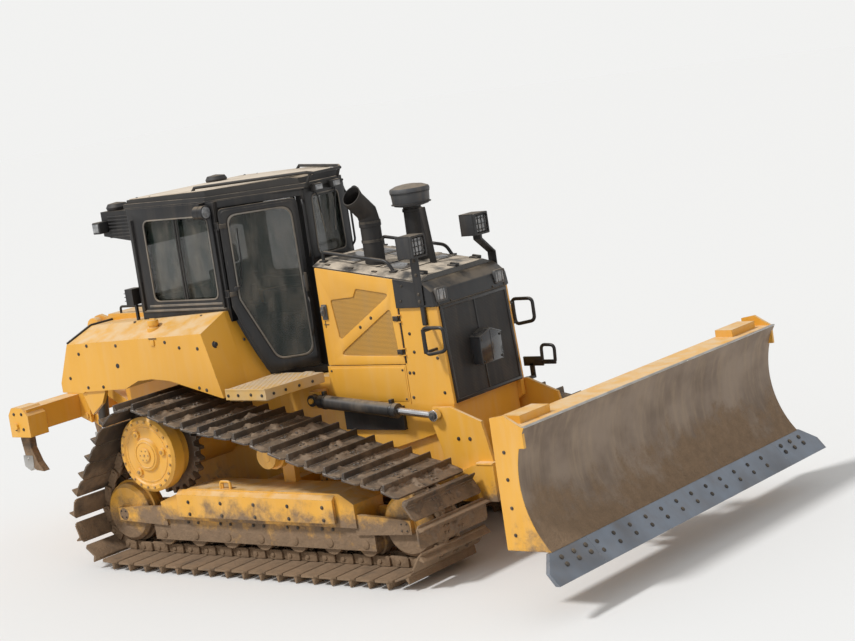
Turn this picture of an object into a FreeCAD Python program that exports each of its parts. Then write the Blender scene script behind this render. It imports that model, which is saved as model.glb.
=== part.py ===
import FreeCAD, Part
import math
import os
import re
import Sketcher
from FreeCAD import Placement, Rotation, Vector

# A medium crawler bulldozer with raised drive sprockets, wide soft-ground
# shoes, a power-angle-tilt blade and a parallelogram ripper.
# Millimetres, +X to the blade, +Y to the operator's left, +Z up, ground at Z 0,
# origin on the ground at the middle of the machine's length and width.

doc = FreeCAD.newDocument("Bulldozer")
sheet = doc.addObject("Spreadsheet::Sheet", "Sizes")

# Driving sizes: alias, value in millimetres or degrees
sizes = [
    # running gear
    ("trackGauge", 2286), ("shoeWide", 914), ("shoePitch", 203.2), ("shoePlate", 18), ("grouserHigh", 60),
    ("grouserWide", 26), ("linkHalfHigh", 45), ("railIn", 48), ("railThick", 42),
    ("sprocketX", -1310), ("sprocketZ", 1050), ("sprocketPinRadius", 404), ("toothTip", 14),
    ("toothCount", 25),
    ("sprocketThick", 76), ("idlerPinRadius", 330), ("idlerThick", 86), ("rearIdlerX", -1857),
    ("frontIdlerX", 1497),
    ("carrierX", 10), ("carrierZ", 1030), ("carrierRadius", 110), ("sagRear", 46),
    ("sagFront", 32), ("leaveAngle", 20), ("meetAngle", 7), ("rollerRadius", 112), ("rollerThick", 250),
    ("hubReach", 3), ("idlerHub", 90), ("rollerHub", 48), ("rollerEnd", 470), ("rollerCount", 7),
    ("runGap", 0.3),
    ("hubRadius", 345), ("hubOut", 1440), ("hubRim", 150), ("hubStep", 34), ("driveRadius", 290),
    ("frameBeamHalf", 190), ("frameBeamLow", 430), ("frameBeamTop", 725), ("frameBeamRear", -1330),
    ("frameBeamFront", 990), ("guardOut", 1375), ("pivotX", -560), ("pivotZ", 560), ("pivotRadius", 95),
    ("equalizerX", -150), ("equalizerZ", 640),
    # main case and belly
    ("frameHalf", 460), ("bellyZ", 400), ("caseRear", -2450), ("caseTop", 1540), ("noseLowX", 1500),
    ("noseLowZ", 760), ("railTop", 1300),
    # engine bay
    ("hoodRear", 190), ("hoodHalf", 505), ("doorFront", 1085), ("seamZ", 1650), ("hoodHighZ", 2540),
    ("hoodSlope", 0.156), ("hoodCrown", 40), ("panelThick", 30), ("panelGap", 8), ("noseFront", 1505),
    ("noseHalf", 530), ("noseSeam", "=hoodHighZ - 400"), ("noseDrop", 50), ("grilleTopX", 1512),
    ("grilleLowX", 1556), ("grilleLow", 1300),
    ("grilleThick", 36), ("engineHalf", 300), ("engineTop", 2180),
    ("doorGap", 6), ("hingeX", 1072), ("hingeY", 517), ("hingePin", 6),
    # stacks, lamps and rails
    ("exhaustX", 700), ("exhaustY", -250), ("exhaustRadius", 90), ("exhaustBendZ", 2930),
    ("exhaustTipZ", 3175),
    ("exhaustTipY", -460), ("cleanerX", 880), ("cleanerY", 130), ("cleanerPipe", 75), ("cleanerRadius", 178),
    ("cleanerLow", 2960),
    ("cleanerHigh", 3130), ("lampPostX", 1368), ("lampHalf", 95), ("lampDeep", 150), ("lampZ", 2665),
    ("railRadius", 16),
    # cab
    ("cabRear", -1720), ("cabHalf", 800), ("cabSill", 2235), ("cabHingeX", 20), ("cabHingeY", 12),
    ("cabHingePin", 8), ("centrePostX", -590), ("frontPostX", -85),
    ("frontPostY", 275), ("postWide", 95), ("roofLow", 3205), ("roofThick", 80), ("roofHalf", 800),
    ("roofRear", -1750),
    ("roofBreakX", -700), ("roofFrontX", 15), ("roofFrontHalf", 250), ("roofPlate", 45), ("roofRise", 32),
    ("glassThick", 6), ("fitGap", 0.3),
    ("floorZ", 1590), ("floorThick", 40), ("doorThick", 50), ("doorSill", "=floorZ + 70"), ("doorRake", 240),
    ("seatX", -1000), ("seatHalf", 260), ("hvacRear", -2270), ("hvacHalf", 620), ("hvacLow", 2860),
    ("hvacHigh", 3180),
    # fenders and steps
    ("fenderOut", 1150), ("fenderIn", 570), ("fenderShoulder", 850), ("fenderRear", -2610),
    ("fenderLow", 1565),
    ("fenderRearTop", 2020), ("fenderFrontTop", 2087), ("fenderFrontX", -663), ("fenderToeX", -501),
    ("fenderToeZ", 1505), ("shoulderRearTop", 2140), ("shoulderFrontTop", 2226), ("archX", -1310),
    ("archTop", 1683),
    ("stepRear", -374), ("stepFront", 107), ("stepOut", 1250), ("stepTop", 1602), ("stepThick", 90),
    ("tankTop", 2200),
    # push frame and blade
    ("liftPivotX", 110), ("liftPivotZ", 600), ("armIn", 480), ("armOut", 640), ("armHigh", 170),
    ("armPin", 60),
    ("crossRear", 1790), ("crossDeep", 180), ("crossLow", 500), ("crossTop", 830), ("swivelX", 2250),
    ("swivelZ", 640),
    ("towerIn", 548), ("towerOut", 578), ("liftBaseX", 60), ("liftBaseZ", 1360), ("liftEyeX", 1410),
    ("liftEyeZ", 1230),
    ("liftY", 616), ("liftBarrel", 60), ("liftRod", 32), ("liftBarrelLong", 960), ("liftEyeThick", 56),
    ("glandLong", 45),
    ("cylinderPin", 25), ("bladeHalf", 1900), ("bladeTop", 1450), ("bladeTopX", 3300),
    ("bladeMidX", "=bladeTopX - 110"),
    ("bladeMidZ", 1000), ("bladeLowX", "=bladeTopX + 95"), ("bladeLowZ", 500), ("bladeSkin", 22),
    ("bladeBack", "=bladeTopX - 310"),
    ("edgeTipX", "=bladeLowX + 167"), ("edgeTipZ", 300), ("edgeThick", 28), ("bitHalf", 2080),
    ("bitIn", 1450),
    ("tiltPin", 75), ("kingPin", 60), ("angleBaseX", 2045), ("angleBaseY", 480),
    ("angleLugX", "=bladeBack - 110"),
    ("angleLugY", 360), ("angleEarGap", 176), ("angleBarrelLong", 570), ("lugReach", 42),
    ("angleBarrel", 55), ("angleRod", 30), ("tiltZ", 1120), ("tiltX", "=bladeBack - 350"),
    ("tiltBaseY", -420),
    ("tiltLugY", 430), ("tiltBarrel", 60), ("tiltRod", 32),
    # ripper
    ("ripperFootX", -2540), ("ripperFootZ", 760), ("ripperBeamX", -3240), ("ripperBeamZ", 1150),
    ("ripperRise", 410),
    ("linkIn", 200), ("linkOut", 315), ("bracketIn", 325), ("bracketOut", 365), ("linkPin", 34),
    ("linkEye", 56), ("beamHalf", 1070),
    ("beamRear", -3562), ("beamFront", -3310), ("beamLow", 1130), ("beamTop", 1380), ("shankThick", 75),
    ("shankReach", 955), ("shankTip", 744), ("shankRear", -3530), ("shankFront", -3400),
    ("ripCylTopX", -2800), ("ripCylTopZ", 2060), ("ripCylY", 440),
    ("ripCylShare", 0.55), ("ripBarrel", 55), ("ripRod", 32),
]
for row, (alias, number) in enumerate(sizes, start=1):
    sheet.set(f"A{row}", alias)
    sheet.set(f"B{row}", str(number))
    sheet.setAlias(f"B{row}", alias)
doc.recompute()

aliasNames = {alias for alias, number in sizes}
nodes = {}


def tied(text):
    # writes a sum of named sizes as an expression of the size table
    return re.sub(r"[A-Za-z]\w*",
                  lambda word: "Sizes." + word.group() if word.group() in aliasNames else word.group(),
                  str(text))


def size(text):
    return float(sheet.evalExpression(tied(text)))


def at(x, y, z):
    return Vector(size(x), size(y), size(z))


def bound(item, **fields):
    for field, text in fields.items():
        item.setExpression(field.replace("_", "."), tied(text))
    return item


def node(name, item):
    item.Label = name
    nodes[name] = item
    return item


def block(name, x, y, z):
    # a box between pairs of named limits
    box = doc.addObject("Part::Box", name)
    bound(box, Length=f"({x[1]}) - ({x[0]})", Width=f"({y[1]}) - ({y[0]})", Height=f"({z[1]}) - ({z[0]})",
          Placement_Base_x=x[0], Placement_Base_y=y[0], Placement_Base_z=z[0])
    return box


turns = {"X": Rotation(Vector(0, 1, 0), 90), "Y": Rotation(Vector(1, 0, 0), -90), "Z": Rotation()}


def drum(name, axis, centre, low, high, radius):
    # a round bar along one axis; centre gives the other two coordinates in X, Y, Z order
    bar = doc.addObject("Part::Cylinder", name)
    place = {"X": (low, centre[0], centre[1]), "Y": (centre[0], low, centre[1]),
             "Z": (centre[0], centre[1], low)}[axis]
    bar.Placement = Placement(Vector(), turns[axis])
    bound(bar, Radius=radius, Height=f"({high}) - ({low})",
          Placement_Base_x=place[0], Placement_Base_y=place[1], Placement_Base_z=place[2])
    return bar


def strut(name, start, end, radius):
    # a round bar between two points
    bar = doc.addObject("Part::Cylinder", name)
    bound(bar, Radius=radius)
    run = end.sub(start)
    bar.Height = run.Length
    bar.Placement = Placement(start, Rotation(Vector(0, 0, 1), run))
    return bar


def beam(name, start, end, wide, deep):
    # a square-cornered bar between two points, its wide side level
    bar = doc.addObject("Part::Box", name)
    run = end.sub(start)
    side = Vector(0, 0, 1).cross(run)
    if side.Length < 0.01 * run.Length:
        side = Vector(0, 1, 0)
    turn = Rotation(run, side, Vector(), "XYZ")
    bound(bar, Width=wide, Height=deep)
    bar.Length = run.Length
    corner = turn.multVec(Vector(0, -size(wide) / 2, -size(deep) / 2))
    bar.Placement = Placement(start.add(corner), turn)
    return bar


def drawn(body, name, plane, loops, offset):
    # closed outlines, each corner held by two named distances from the origin
    sketch = body.newObject("Sketcher::SketchObject", name)
    support = [part for part in body.Origin.OriginFeatures if part.Role == plane + "_Plane"][0]
    sketch.AttachmentSupport = [(support, "")]
    sketch.MapMode = "FlatFace"
    sketch.setExpression("AttachmentOffset.Base.z", tied(offset))
    for loop in loops:
        first = sketch.GeometryCount
        spots = [Vector(size(across), size(up), 0) for across, up in loop]
        lines = [Part.LineSegment(spots[i], spots[(i + 1) % len(spots)]) for i in range(len(spots))]
        sketch.addGeometry(lines, False)
        for i, (across, up) in enumerate(loop):
            after = first + (i + 1) % len(loop)
            sketch.addConstraint(Sketcher.Constraint("Coincident", first + i, 2, after, 1))
            for kind, text, number in (("DistanceX", across, spots[i].x), ("DistanceY", up, spots[i].y)):
                place = sketch.addConstraint(Sketcher.Constraint(kind, -1, 1, first + i, 1, number))
                sketch.setExpression(f"Constraints[{place}]", tied(text))
    return sketch


def prism(name, plane, loops, low, high):
    # outlines in a main plane, drawn out between two named limits
    if not isinstance(loops[0], list):
        loops = [loops]
    body = doc.addObject("PartDesign::Body", name)
    start = f"-({high})" if plane == "XZ" else low
    sketch = drawn(body, name + "_outline", plane, loops, start)
    pad = body.newObject("PartDesign::Pad", name + "_pad")
    pad.Profile = sketch
    pad.setExpression("Length", tied(f"({high}) - ({low})"))
    body.Tip = pad
    return body


def turned(name, outline, axis, base):
    # an outline of radius and height, revolved about its axis
    body = doc.addObject("PartDesign::Body", name)
    sketch = drawn(body, name + "_outline", "XZ", [outline], "0")
    spin = body.newObject("PartDesign::Revolution", name + "_spin")
    spin.Profile = sketch
    spin.ReferenceAxis = (sketch, ["V_Axis"])
    spin.Angle = 360
    body.Tip = spin
    body.Placement = Placement(Vector(), turns[axis])
    bound(body, Placement_Base_x=base[0], Placement_Base_y=base[1], Placement_Base_z=base[2])
    return body


def lofted(name, plane, sections):
    # flat-sided body through outlines of equal corner count at named offsets
    body = doc.addObject("PartDesign::Body", name)
    sketches = []
    for place, (offset, outline) in enumerate(sections):
        start = f"-({offset})" if plane == "XZ" else offset
        sketches.append(drawn(body, f"{name}_section{place}", plane, [outline], start))
    loft = body.newObject("PartDesign::AdditiveLoft", name + "_loft")
    loft.Profile = sketches[0]
    loft.Sections = sketches[1:]
    loft.Ruled = True
    body.Tip = loft
    return body


def joined(name, pieces):
    if len(pieces) == 1:
        return pieces[0]
    fuse = doc.addObject("Part::MultiFuse", name)
    fuse.Shapes = pieces
    return fuse


def trimmed(name, piece, tools):
    cut = doc.addObject("Part::Cut", name)
    cut.Base = piece
    cut.Tool = joined(name + "_tools", tools)
    return cut


def mirrored(name, piece):
    twin = doc.addObject("Part::Mirroring", name)
    twin.Source = piece
    twin.Normal = Vector(0, 1, 0)
    return twin


def gathered(name, pieces):
    group = doc.addObject("Part::Compound", name)
    group.Links = pieces
    return group


def both(name, piece):
    # a right-hand piece and its left-hand twin
    return gathered(name, [piece, mirrored(name + "_twin", piece)])


def shaped(name, shape):
    item = doc.addObject("Part::Feature", name)
    item.Shape = shape
    return item


def rail(name, spots, radius):
    # a bent round bar with mitred corners
    wire = Part.makePolygon(spots)
    first = spots[1].sub(spots[0])
    ring = Part.Wire(Part.makeCircle(size(radius), spots[0], first))
    return shaped(name, wire.makePipeShell([ring], True, False, 1))


# Running gear
gaugeHalf = "trackGauge / 2"
pinLow = size("grouserHigh + shoePlate + linkHalfHigh")
idlerZ = "grouserHigh + shoePlate + linkHalfHigh + idlerPinRadius"


def arcSpots(centre, radius, start, end, count):
    # spots on an arc, angles in degrees from +X towards +Z
    angles = [math.radians(start + (end - start) * i / count) for i in range(count + 1)]
    return [Vector(centre.x + radius * math.cos(a), 0, centre.z + radius * math.sin(a)) for a in angles]


def sagSpots(start, end, sag, count):
    # a slack span of chain between two supports
    shares = [i / count for i in range(count + 1)]
    return [start.add(end.sub(start).multiply(s)).add(Vector(0, 0, -4 * sag * s * (1 - s))) for s in shares]


def chainPath():
    # the pins' line: up the back, round the sprocket, along the slack top, down the front, back on the ground
    sprocket, front, rear = at("sprocketX", 0, "sprocketZ"), at("frontIdlerX", 0, idlerZ), at("rearIdlerX",
        0, idlerZ)
    big, small = size("sprocketPinRadius"), size("idlerPinRadius")
    rise = math.degrees(math.atan2(sprocket.z - rear.z, sprocket.x - rear.x))
    lean = math.degrees(math.asin((big - small) / sprocket.sub(rear).Length))
    back = 90 + rise + lean
    wrap = arcSpots(sprocket, big, back, 90 - size("leaveAngle"), 40)
    crest = at("carrierX", 0, "carrierZ + carrierRadius + linkHalfHigh")
    nose = arcSpots(front, small, 90 - size("meetAngle"), -90, 60)
    heel = arcSpots(rear, small, 270, back, 60)
    top = sagSpots(wrap[-1], crest, size("sagRear"), 30) + sagSpots(crest, nose[0], size("sagFront"), 30)
    return wrap + top[1:] + nose[1:] + heel


def evenly(spots, count):
    # pins at equal steps along a closed line
    loop = spots + [spots[0]]
    runs = [loop[i + 1].sub(loop[i]).Length for i in range(len(spots))]
    total = sum(runs)
    pins, place, passed = [], 0, 0.0
    for i in range(count):
        goal = total * i / count
        while passed + runs[place] < goal:
            passed += runs[place]
            place += 1
        share = (goal - passed) / runs[place]
        pins.append(loop[place].add(loop[place + 1].sub(loop[place]).multiply(share)))
    return pins, total


pathSpots = chainPath()
pathLong = sum(pathSpots[i].sub(pathSpots[i - 1]).Length for i in range(len(pathSpots)))
shoeCount = round(pathLong / size("shoePitch"))
pins, pathLong = evenly(pathSpots, shoeCount)
print("track shoes", shoeCount, "pitch", round(pathLong / shoeCount, 1))


def outward(first, second):
    run = second.sub(first)
    return Vector(-run.z, 0, run.x).normalize()


def offsetLoop(distance):
    # the pins' polygon moved out from the loop, corners mitred
    spots = []
    for i, pin in enumerate(pins):
        before, after = outward(pins[i - 1], pin), outward(pin, pins[(i + 1) % shoeCount])
        middle = before.add(after).normalize()
        spots.append(pin.add(middle.multiply(distance / middle.dot(after))))
    return spots


def shoeOutline():
    # plates as flats between the mitred corners, each with one tapered grouser near its trailing edge
    plate = size("linkHalfHigh + shoePlate")
    corners = offsetLoop(plate)
    high, wide = size("grouserHigh"), size("grouserWide")
    spots = []
    for i in range(shoeCount):
        start, end = corners[i], corners[(i + 1) % shoeCount]
        run = end.sub(start).normalize()
        up = outward(start, end).multiply(high)
        root = start.add(Vector(run).multiply(0.12 * size("shoePitch")))
        spots += [start, root, root.add(up).add(Vector(run).multiply(0.25 * wide))]
        tip = root.add(Vector(run).multiply(wide))
        spots += [tip.add(up), tip.add(Vector(run).multiply(0.35 * wide))]
    return spots


def ring(outer, inner, low, high):
    # a band between two closed outlines, drawn out across the machine
    def face(spots):
        raised = [Vector(spot.x, low, spot.z) for spot in spots]
        return Part.Face(Part.makePolygon(raised + [raised[0]]))
    band = face(outer).cut(face(inner))
    return band.extrude(Vector(0, high - low, 0))


def trackShape(side):
    middle, half = side * size(gaugeHalf), size("shoeWide") / 2
    shape = ring(shoeOutline(), offsetLoop(size("linkHalfHigh")), middle - half, middle + half)
    plateIn, railLow = offsetLoop(size("linkHalfHigh + shoePlate / 2")), offsetLoop(-size("linkHalfHigh"))
    rails = []
    for edge in (-1, 1):
        near = middle + edge * size("railIn")
        far = middle + edge * size("railIn + railThick")
        rails.append(ring(plateIn, railLow, min(near, far), max(near, far)))
    return shape.multiFuse(rails)


for side, word in ((-1, "right"), (1, "left")):
    node("track_" + word, shaped("track_" + word + "_loop", trackShape(side)))


def toothedWheel():
    # a disc with a trapezoid tooth for each half pitch
    count = int(size("toothCount"))
    root = size("sprocketPinRadius - 38")
    tip = size("sprocketPinRadius + toothTip")
    spots = []
    for i in range(count):
        for radius, share in ((root, -0.30), (tip, -0.13), (tip, 0.13), (root, 0.30)):
            angle = 2 * math.pi * (i + share) / count
            spots.append(Vector(size("sprocketX") + radius * math.cos(angle), 0,
                                size("sprocketZ") + radius * math.sin(angle)))
    half = size("sprocketThick") / 2
    low = -size(gaugeHalf) - half
    placed = [Vector(spot.x, low, spot.z) for spot in spots]
    return Part.Face(Part.makePolygon(placed + [placed[0]])).extrude(Vector(0, 2 * half, 0))


sprocketDisc = shaped("sprocket_disc", toothedWheel())
sprocketBore = drum("sprocket_bore", "Y", ("sprocketX", "sprocketZ"), "-2000", "-500", "driveRadius + 0.3")
node("sprockets", both("sprockets_pair", trimmed("sprocket_ring", sprocketDisc, [sprocketBore])))

# radius and distance out from the machine's middle of the final drive's turned outline
driveOutline = [
    ("0", "frameHalf"), ("driveRadius - 60", "frameHalf"), ("driveRadius - 60", f"{gaugeHalf} - 160"),
    ("driveRadius", f"{gaugeHalf} - 130"), ("driveRadius", "hubOut - hubRim"),
    ("hubRadius", "hubOut - hubRim"),
    ("hubRadius", "hubOut - hubStep"), ("hubRadius - 26", "hubOut - 12"), ("hubRadius - 60", "hubOut - 12"),
    ("hubRadius - 74", "hubOut - hubStep + 8"), ("hubRadius - 190", "hubOut - hubStep + 8"),
    ("hubRadius - 205", "hubOut - 4"), ("hubRadius - 260", "hubOut"), ("0", "hubOut"),
]
driveLeft = turned("final_drive_body", driveOutline, "Y", ("sprocketX", "0", "sprocketZ"))
node("final_drives", gathered("final_drives_pair", [driveLeft, mirrored("final_drives_twin", driveLeft)]))


def roller(name, x, z, tread):
    # a tread each side of a raised middle flange, and a hub at each end
    side, flange = "rollerThick / 2", "railIn - 10"
    outline = [
        ("0", f"-{side} - hubReach"), ("rollerHub", f"-{side} - hubReach"), ("rollerHub", f"-{side}"),
        (tread, f"-{side}"),
        (tread, f"-({flange})"), (f"({tread}) + 22", f"-({flange})"), (f"({tread}) + 22", flange),
        (tread, flange), (tread, side), ("rollerHub", side), ("rollerHub", f"{side} + hubReach"),
        ("0", f"{side} + hubReach"),
    ]
    return turned(name, outline, "Y", (x, f"-{gaugeHalf}", z))


def wheel(name, x, z, tread, thick, hub):
    # an idler: a bevelled tread each side of a raised middle flange that guides the chain,
    # and a hub at each end
    side, flange = f"({thick}) / 2", "railIn - 4"
    outline = [
        ("0", f"-{side} - hubReach"), (hub, f"-{side} - hubReach"), (hub, f"-{side}"),
        (f"({tread}) - 30", f"-{side}"),
        (tread, f"-{side} + 30"), (tread, f"-({flange})"), (f"({tread}) + 22", f"-({flange}) + 8"),
        (f"({tread}) + 22", f"{flange} - 8"),
        (tread, flange), (tread, f"{side} - 30"), (f"({tread}) - 30", side), (hub, side),
        (hub, f"{side} + hubReach"),
        ("0", f"{side} + hubReach"),
    ]
    return turned(name, outline, "Y", (x, f"-{gaugeHalf}", z))


idlerTread = "sqrt(idlerPinRadius ^ 2 - (shoePitch / 2) ^ 2) - linkHalfHigh - runGap"
rightWheels = []
for name, x in (("rear_idler", "rearIdlerX"), ("front_idler", "frontIdlerX")):
    rightWheels.append(wheel(name, x, idlerZ, idlerTread, "rollerThick", "idlerHub"))
node("idlers", both("idlers_all", gathered("idlers_right", rightWheels)))

rollerZ = "grouserHigh + shoePlate + 2 * linkHalfHigh + rollerRadius + runGap"
rollerStep = "(frontIdlerX - rearIdlerX - 2 * rollerEnd) / (rollerCount - 1)"
rightRollers = []
for i in range(int(size("rollerCount"))):
    spot = f"rearIdlerX + rollerEnd + {i} * ({rollerStep})"
    rightRollers.append(roller(f"roller{i}", spot, rollerZ, "rollerRadius"))


def underRails(x, radius):
    # height of a round roller's centre that just clears the chain's rails above it
    spots = offsetLoop(-size("linkHalfHigh"))
    heights = []
    for i, spot in enumerate(spots):
        start = spots[i - 1]
        if min(start.z, spot.z) < size("idlerPinRadius") or min(start.x, spot.x) > x + radius or max(start.x,
            spot.x) < x - radius:
            continue
        run = spot.sub(start)
        level = start.z + run.z * (x - start.x) / run.x
        heights.append(level - radius * run.Length / abs(run.x))
        if abs(spot.x - x) < radius:
            heights.append(spot.z - math.sqrt(radius ** 2 - (spot.x - x) ** 2))
    return min(heights)


carrierHeight = str(underRails(size("carrierX"), size("carrierRadius")) - size("runGap"))
rightRollers.append(roller("carrier", "carrierX", carrierHeight, "carrierRadius"))
node("track_rollers", both("track_rollers_all", gathered("track_rollers_right", rightRollers)))

# Track frame: a box beam over the rollers with a yoke to each idler and a post for the carrier roller
beamSide = [
    ("frameBeamRear", "frameBeamLow"), ("frameBeamRear", "frameBeamTop - 135"),
    ("frameBeamRear + 380", "frameBeamTop"),
    ("frameBeamFront - 150", "frameBeamTop"), ("frameBeamFront", "frameBeamTop - 90"),
    ("frameBeamFront", "frameBeamLow"),
]
frameParts = [prism("track_beam", "XZ", beamSide, f"-{gaugeHalf} - frameBeamHalf",
                    f"-{gaugeHalf} + frameBeamHalf")]
yokeIn = "(rollerThick / 2 + hubReach)"
for end, tipX, rootX in (("rear", "rearIdlerX - 70", "frameBeamRear + 30"),
                         ("front", "frontIdlerX + 70", "frameBeamFront - 30")):
    for edge, word in ((-1, "out"), (1, "in")):
        near, far = (f"-{gaugeHalf} + {yokeIn}", f"-{gaugeHalf} + {yokeIn} + 45")
        if edge < 0:
            near, far = (f"-{gaugeHalf} - {yokeIn} - 45", f"-{gaugeHalf} - {yokeIn}")
        outline = [(tipX, f"{idlerZ} - 60"), (tipX, f"{idlerZ} + 60"), (rootX, f"{idlerZ} + 90"),
                   (rootX, f"{idlerZ} - 90")]
        frameParts.append(prism(f"yoke_{end}_{word}", "XZ", outline, near, far))
guardOutline = [
    (f"-{gaugeHalf} - frameBeamHalf + 10", "frameBeamTop - 10"), ("-guardOut + 50", "frameBeamTop - 10"),
    ("-guardOut", "frameBeamTop - 50"), ("-guardOut", "frameBeamLow + 40"),
    ("-guardOut + 30", "frameBeamLow + 40"),
    ("-guardOut + 30", "frameBeamTop - 60"), ("-guardOut + 60", "frameBeamTop - 35"),
    (f"-{gaugeHalf} - frameBeamHalf + 10", "frameBeamTop - 35"),
]
frameParts.append(prism("roller_guard", "YZ", guardOutline, "frameBeamRear + 260", "frameBeamFront - 200"))
frameParts.append(block("carrier_post", ("carrierX - 70", "carrierX + 70"),
                        (f"-{gaugeHalf} + rollerThick / 2 + hubReach", f"-{gaugeHalf} + frameBeamHalf"),
                        ("frameBeamTop - 20", carrierHeight + " + 60")))
for edge, word in ((-1, "out"), (1, "in")):
    near, far = sorted((f"-{gaugeHalf} + {edge} * {yokeIn}", f"-{gaugeHalf} + {edge} * ({yokeIn} + 24)"),
                       key=size)
    guardSpan = ("rearIdlerX + rollerEnd - rollerRadius", "frontIdlerX - rollerEnd + rollerRadius")
    frameParts.append(block("roller_cheek_" + word, guardSpan, (near, far),
                            (rollerZ + " - 55", "frameBeamLow + 20")))
trackFrame = joined("track_frame_parts", frameParts)
node("track_frame_right", trackFrame)
node("track_frame_left", mirrored("track_frame_twin", trackFrame))

pivotShaft = drum("pivot_shaft_bar", "Y", ("pivotX", "pivotZ"), "-(trackGauge / 2 - frameBeamHalf)",
                  "trackGauge / 2 - frameBeamHalf", "pivotRadius")
equalizer = block("equalizer_bar_body", ("equalizerX - 70", "equalizerX + 70"),
                  ("-(trackGauge / 2 - frameBeamHalf)", "trackGauge / 2 - frameBeamHalf"),
                  ("equalizerZ - 60", "equalizerZ + 60"))

# Main case: transmission case and belly with the front rails that carry the engine
caseOutline = [
    ("caseRear", "bellyZ + 350"), ("caseRear", "caseTop"), ("hoodRear", "caseTop"), ("hoodRear", "railTop"),
    ("noseLowX", "railTop"), ("noseLowX", "noseLowZ"), ("noseLowX - 330", "bellyZ + 60"),
    ("noseLowX - 500", "bellyZ"),
    ("rearIdlerX + 200", "bellyZ"), ("rearIdlerX - 250", "bellyZ + 90"),
]
caseBody = prism("main_case", "XZ", caseOutline, "-frameHalf", "frameHalf")
shaftHole = drum("pivot_hole", "Y", ("pivotX", "pivotZ"), "-frameHalf - 10", "frameHalf + 10",
                 "pivotRadius + 0.3")
barSlot = block("equalizer_slot", ("equalizerX - 90", "equalizerX + 90"),
                ("-frameHalf - 10", "frameHalf + 10"),
                ("equalizerZ - 60.3", "equalizerZ + 120"))
armPins = drum("arm_trunnions", "Y", ("liftPivotX", "liftPivotZ"), "-armOut - 14", "armOut + 14", "armPin")
liftPins = drum("lift_trunnions", "Y", ("liftBaseX", "liftBaseZ"), "-liftY - liftEyeThick / 2 - 16",
                "liftY + liftEyeThick / 2 + 16", "cylinderPin")
liftEars = block("lift_ears", ("liftBaseX - 75", "liftBaseX + 50"),
                 ("-liftY + liftEyeThick / 2 + 6", "liftY - liftEyeThick / 2 - 6"),
                 ("liftBaseZ - 80", "liftBaseZ + 70"))
node("main_frame", joined("main_frame_parts", [trimmed("main_case_cut", caseBody, [shaftHole, barSlot]),
                                               armPins, liftPins, liftEars]))
node("pivot_shaft", pivotShaft)
node("equalizer_bar", equalizer)


# Engine bay: the bonnet line falls to the front
def hoodLine(x):
    return f"(hoodHighZ - hoodSlope * (({x}) - hoodRear))"


node("engine_block", block("engine_mass", ("hoodRear + 60", "doorFront"), ("-engineHalf", "engineHalf"),
                           ("railTop", "engineTop")))

lowPanel = block("low_panel", ("hoodRear", "doorFront - doorGap"), ("-hoodHalf", "-hoodHalf + panelThick"),
                 ("railTop", "seamZ - doorGap"))
frontPanelSide = [
    ("doorFront", "railTop"), ("doorFront", "noseSeam"), ("grilleTopX - 4", "noseSeam"),
    ("grilleLowX - 4", "railTop"),
]
frontPanel = prism("front_panel", "XZ", frontPanelSide, "-hoodHalf", "-hoodHalf + panelThick")
# the rail's closing plate rises to the front, where the lifted push arm comes up beside it
closingSide = [
    ("hoodRear", "railTop"), ("hoodRear", "railTop - 380"), ("liftPivotX + 750", "railTop - 380"),
    ("crossRear - 390", "railTop - 234"), ("grilleLowX - 10", "railTop - 140"),
    ("grilleLowX - 10", "railTop"),
]
railClosing = prism("rail_closing", "XZ", closingSide, "-hoodHalf", "-frameHalf")
hingeParts, knuckles = [], []
for place, z in enumerate(("seamZ + 110", "noseSeam - 90")):
    hingeParts.append(drum(f"door_hinge_pin{place}", "Z", ("hingeX", "-hingeY"), z + " - 34", z + " + 34",
                           "hingePin"))
    for end, low, high in (("low", "-34", "-25"), ("high", "25", "34")):
        spanZ = (f"{z} + {low}", f"{z} + {high}")
        hingeParts.append(block(f"door_hinge_{end}{place}", ("hingeX - 6", "doorFront + 25"),
                                ("-hingeY - 6", "-hoodHalf - 3"), spanZ))
        hingeParts.append(block(f"door_hinge_foot_{end}{place}", ("doorFront + 3", "doorFront + 25"),
                                ("-hoodHalf - 4", "-hoodHalf + 5"), spanZ))
    knuckle = drum(f"door_knuckle{place}", "Z", ("hingeX", "-hingeY"), z + " - 22", z + " + 22",
                   "hingePin + 6")
    leaf = block(f"door_leaf{place}", ("hingeX - 40", "hingeX + 3"), ("-hingeY - 3", "-hoodHalf + 5"),
                 (z + " - 22", z + " + 22"))
    knuckles.append([knuckle, leaf, drum(f"door_knuckle_bore{place}", "Z", ("hingeX", "-hingeY"),
                                         z + " - 30", z + " + 30", "hingePin + 0.08")])
sideRight = joined("side_panel_right", [lowPanel, frontPanel, railClosing] + hingeParts)
node("side_panels", both("side_panels_pair", sideRight))


doorSide = [
    ("hoodRear + 12", "seamZ"), ("hoodRear + 12", hoodLine("hoodRear + 12") + " - 12"),
    ("doorFront - doorGap", hoodLine("doorFront") + " - 12"), ("doorFront - doorGap", "seamZ"),
]
doorSheet = prism("engine_door_sheet", "XZ", doorSide, "-hoodHalf", "-hoodHalf + panelThick")
engineDoor = trimmed("engine_door_bored", joined("engine_door_parts",
                                                 [doorSheet] + knuckles[0][:2] + knuckles[1][:2]),
                                                 [knuckles[0][2], knuckles[1][2]])
node("engine_door_right", engineDoor)
node("engine_door_left", mirrored("engine_door_twin", engineDoor))

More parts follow.
